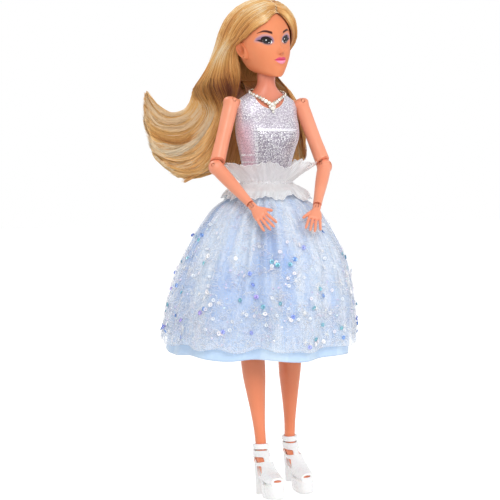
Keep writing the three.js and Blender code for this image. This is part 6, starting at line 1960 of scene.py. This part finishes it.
def hair_pieces(name, side, count, seed, low, high):
    """Threads between two places across, in locks, as one piece above the neck and one below it."""
    draw = np.random.default_rng(seed)
    lock_count = max(int(34 * (high - low)), 4)
    locks = np.linspace(low, high, lock_count) + draw.uniform(-0.012, 0.012, lock_count)
    lock = draw.integers(0, len(locks), count)
    across = np.clip(locks[lock] + draw.normal(0, 0.017, count), low, high)
    tall = 1 + draw.uniform(-0.16, 0.06, count)
    trim = np.clip(draw.uniform(0.88, 1.0, len(locks))[lock] + draw.normal(0, 0.025, count), 0.7, 1.0)
    root = np.where(draw.uniform(0, 1, count) < 0.72, 0.0, draw.uniform(0.02, 0.5, count))
    paths, marks = flowing(side, across, tall, trim, root)
    # in a lock the threads close up towards the tip, and each lock sways in its own way
    middles, _ = flowing(side, np.clip(locks, low, high), np.ones(len(locks)),
                         draw.uniform(0.92, 1.0, len(locks)), np.zeros(len(locks)))
    run = np.clip(marks, 0, 1)
    closing = (0.62 * smooth_step(0.25, 0.95, run) * draw.uniform(0.5, 1.0, count)[:, None])[..., None]
    paths = paths * (1 - closing) + middles[lock] * closing
    phase, size = draw.uniform(0, 6.3, (len(locks), 3)), draw.uniform(0.5, 1.3, (len(locks), 1))
    sway = smooth_step(0.12, 0.55, run) * size[lock]
    rise = smooth_step(0.3, 1.0, run)
    paths[..., 0] += sway * 0.55 * np.sin(11 * run + phase[lock, 0][:, None])
    paths[..., 1] += sway * 0.8 * np.sin(9 * run + phase[lock, 1][:, None])
    paths[..., 2] += sway * (0.6 + 0.9 * rise) * np.sin(10 * run + phase[lock, 2][:, None])
    own = draw.uniform(0, 6.3, (count, 3))
    stray = np.where(draw.uniform(0, 1, count) < 0.035, 3.2, 1.0)[:, None] * draw.uniform(0.3, 1.0, count)[:, None]
    loose = (0.06 + 0.42 * smooth_step(-0.6, 0.9, marks)) * stray
    for axis in range(3):
        paths[..., axis] += loose * np.sin((5 + 2 * axis) * (marks + 1) + own[:, axis][:, None])
    # darker near the hairline, where the hair lies in its own shadow by the face: painted shade
    shade = (2.2 if side > 0 else 0.8) * np.exp(-across / (0.13 if side > 0 else 0.06))
    tone = (2.1 + 0.7 * draw.normal(0, 1, len(locks))[lock] + draw.normal(0, 0.5, count) - shade)[:, None]
    made = []
    for part, (label, bodies, ends) in zip(parted(paths, marks, NECK_SPLIT, (12, 18)), HAIR_PARTS):
        points, mark = part[..., :3], part[..., 3]
        thin = 1 - 0.6 * smooth_step(0.85, 1.0, mark)
        piece = on_lines(f"{name}_{label}", points, 0.155, fibre, sizes=thin, tints=blond_lit_and_shaded(points, mark, tone))
        made.append((piece, bodies, ends))
    return made


hair = hair_pieces("hair_front", -1, 1000, 11, 0.0, 0.5)
hair += hair_pieces("hair_side", -1, 1000, 12, 0.42, 0.78)
hair += hair_pieces("hair_back", -1, 750, 13, 0.74, 1.0)
hair += hair_pieces("hair_left", 1, 800, 14, 0.0, 0.55)
hair += hair_pieces("hair_left_back", 1, 650, 15, 0.5, 1.0)

# %% [markdown]
# ## Hair: the layer underneath
# Four thousand threads do not hide the scalp, where a real doll has many times as many. A sheet a
# little below them follows the same flow. It carries fine streaks along the flow as colour and bump, so
# that a gap between two threads shows more hair.

# %% Under layer
def thick_sheet(name, grid, thickness, tints, finish):
    """A closed sheet from a grid of points, with a UV map across and along it."""
    rows, columns = grid.shape[:2]
    normal = unit(np.cross(np.gradient(grid, axis=1), np.gradient(grid, axis=0)))
    both = np.concatenate([grid.reshape(-1, 3), (grid - normal * thickness).reshape(-1, 3)])
    points, quads, _ = outward(both, sheet_quads(rows, columns), NO_TRIS)
    mesh = mesh_from(name, placed(points), quads)
    attributed(mesh, tint=np.concatenate([tints.reshape(-1, 4)] * 2))
    width = np.concatenate([[0], np.cumsum(np.linalg.norm(np.diff(grid[rows // 3], axis=0), axis=1))])
    length = np.concatenate([[0], np.cumsum(np.linalg.norm(np.diff(grid[:, columns // 2], axis=0), axis=1))])
    flat = np.stack(np.broadcast_arrays(width[None, :], length[:, None]), axis=-1).reshape(-1, 2) * MM
    flat = np.concatenate([flat, flat])
    corners = np.empty(len(mesh.loops), np.int32)
    mesh.loops.foreach_get("vertex_index", corners)
    mesh.uv_layers.new(name="flow").data.foreach_set("uv", flat[corners].astype(np.float32).ravel())
    mesh.materials.append(finish)
    piece = linked(name, mesh)
    print(name, len(mesh.polygons), "faces")
    return piece


def hair_under():
    made, tree, shader = material("hair_nylon_under_layer")  # the same fibre, seen as a mass
    tint = point_tint(tree)
    flow = node(tree, "ShaderNodeUVMap", uv_map="flow").outputs[0]
    streak = node(tree, "ShaderNodeMapping", {"Vector": flow, "Scale": (1.0, 0.035, 1.0)}).outputs[0]
    fine = noise(tree, streak, 2600, 3, 0.6)
    darker = node(tree, "ShaderNodeHueSaturation", {"Color": tint, "Value": 0.6, "Saturation": 1.1}).outputs[0]
    connect(tree, shader, {"Base Color": blended(tree, ramp(tree, fine, (0.36, 0.0), (0.62, 1.0)), darker, tint),
                           "Roughness": ramp(tree, fine, (0.3, 0.55), (0.7, 0.4))})
    bumped(tree, shader, fine, 0.5, 0.00025)
    return made


under = hair_under()
for side, label in ((-1, "right"), (1, "left")):
    across = np.linspace(0.03, 1.0, 64)
    trim = 0.93 + 0.03 * np.sin(23 * across) + 0.02 * np.sin(61 * across)
    paths, marks = flowing(side, across, np.full(64, 0.74), trim, np.zeros(64))
    for part, (suffix, bodies, ends) in zip(parted(paths, marks, NECK_SPLIT, (48, 48)), HAIR_PARTS):
        grid = part.transpose(1, 0, 2)
        sheet = thick_sheet(f"hair_under_{label}_{suffix}", grid[..., :3], 0.6,
                            blond_lit_and_shaded(grid[..., :3], grid[..., 3], np.full(grid.shape[:2], 1.3)), under)
        hair.append((sheet, bodies, ends))

# %% [markdown]
# ## Hair: the parting
# The hair of a parting is rooted in two rows of holes, and the tufts cross from one side to the other,
# so a pale zigzag shows.

# %% Parting
v = np.linspace(0.0, 0.62, 22)
zigzag = 0.012 * (-1.0) ** np.arange(len(v))
rows = []
for side, down in ((-1, 0.05), (-1, 0.012), (1, 0.012), (1, 0.05)):
    rows.append(crown_point(side, np.clip(v + side * zigzag, 0, 1), np.full(len(v), down), np.ones(len(v))))
rows.insert(2, (rows[1] + rows[2]) / 2 + [0, 0, 0.15])
parting = on_lines("hair_parting_tufts", np.stack(rows, axis=1), 0.24, fibre, sides=5,
                   tints=np.tile(linear("#f6d3a4"), (len(v) * 5, 1)))
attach(parting, "head")

for piece, bodies, ends in hair:
    node_name = "hair_crown" if bodies[0] == "head" else "hair_lengths"
    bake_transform(piece)
    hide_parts(node_name)
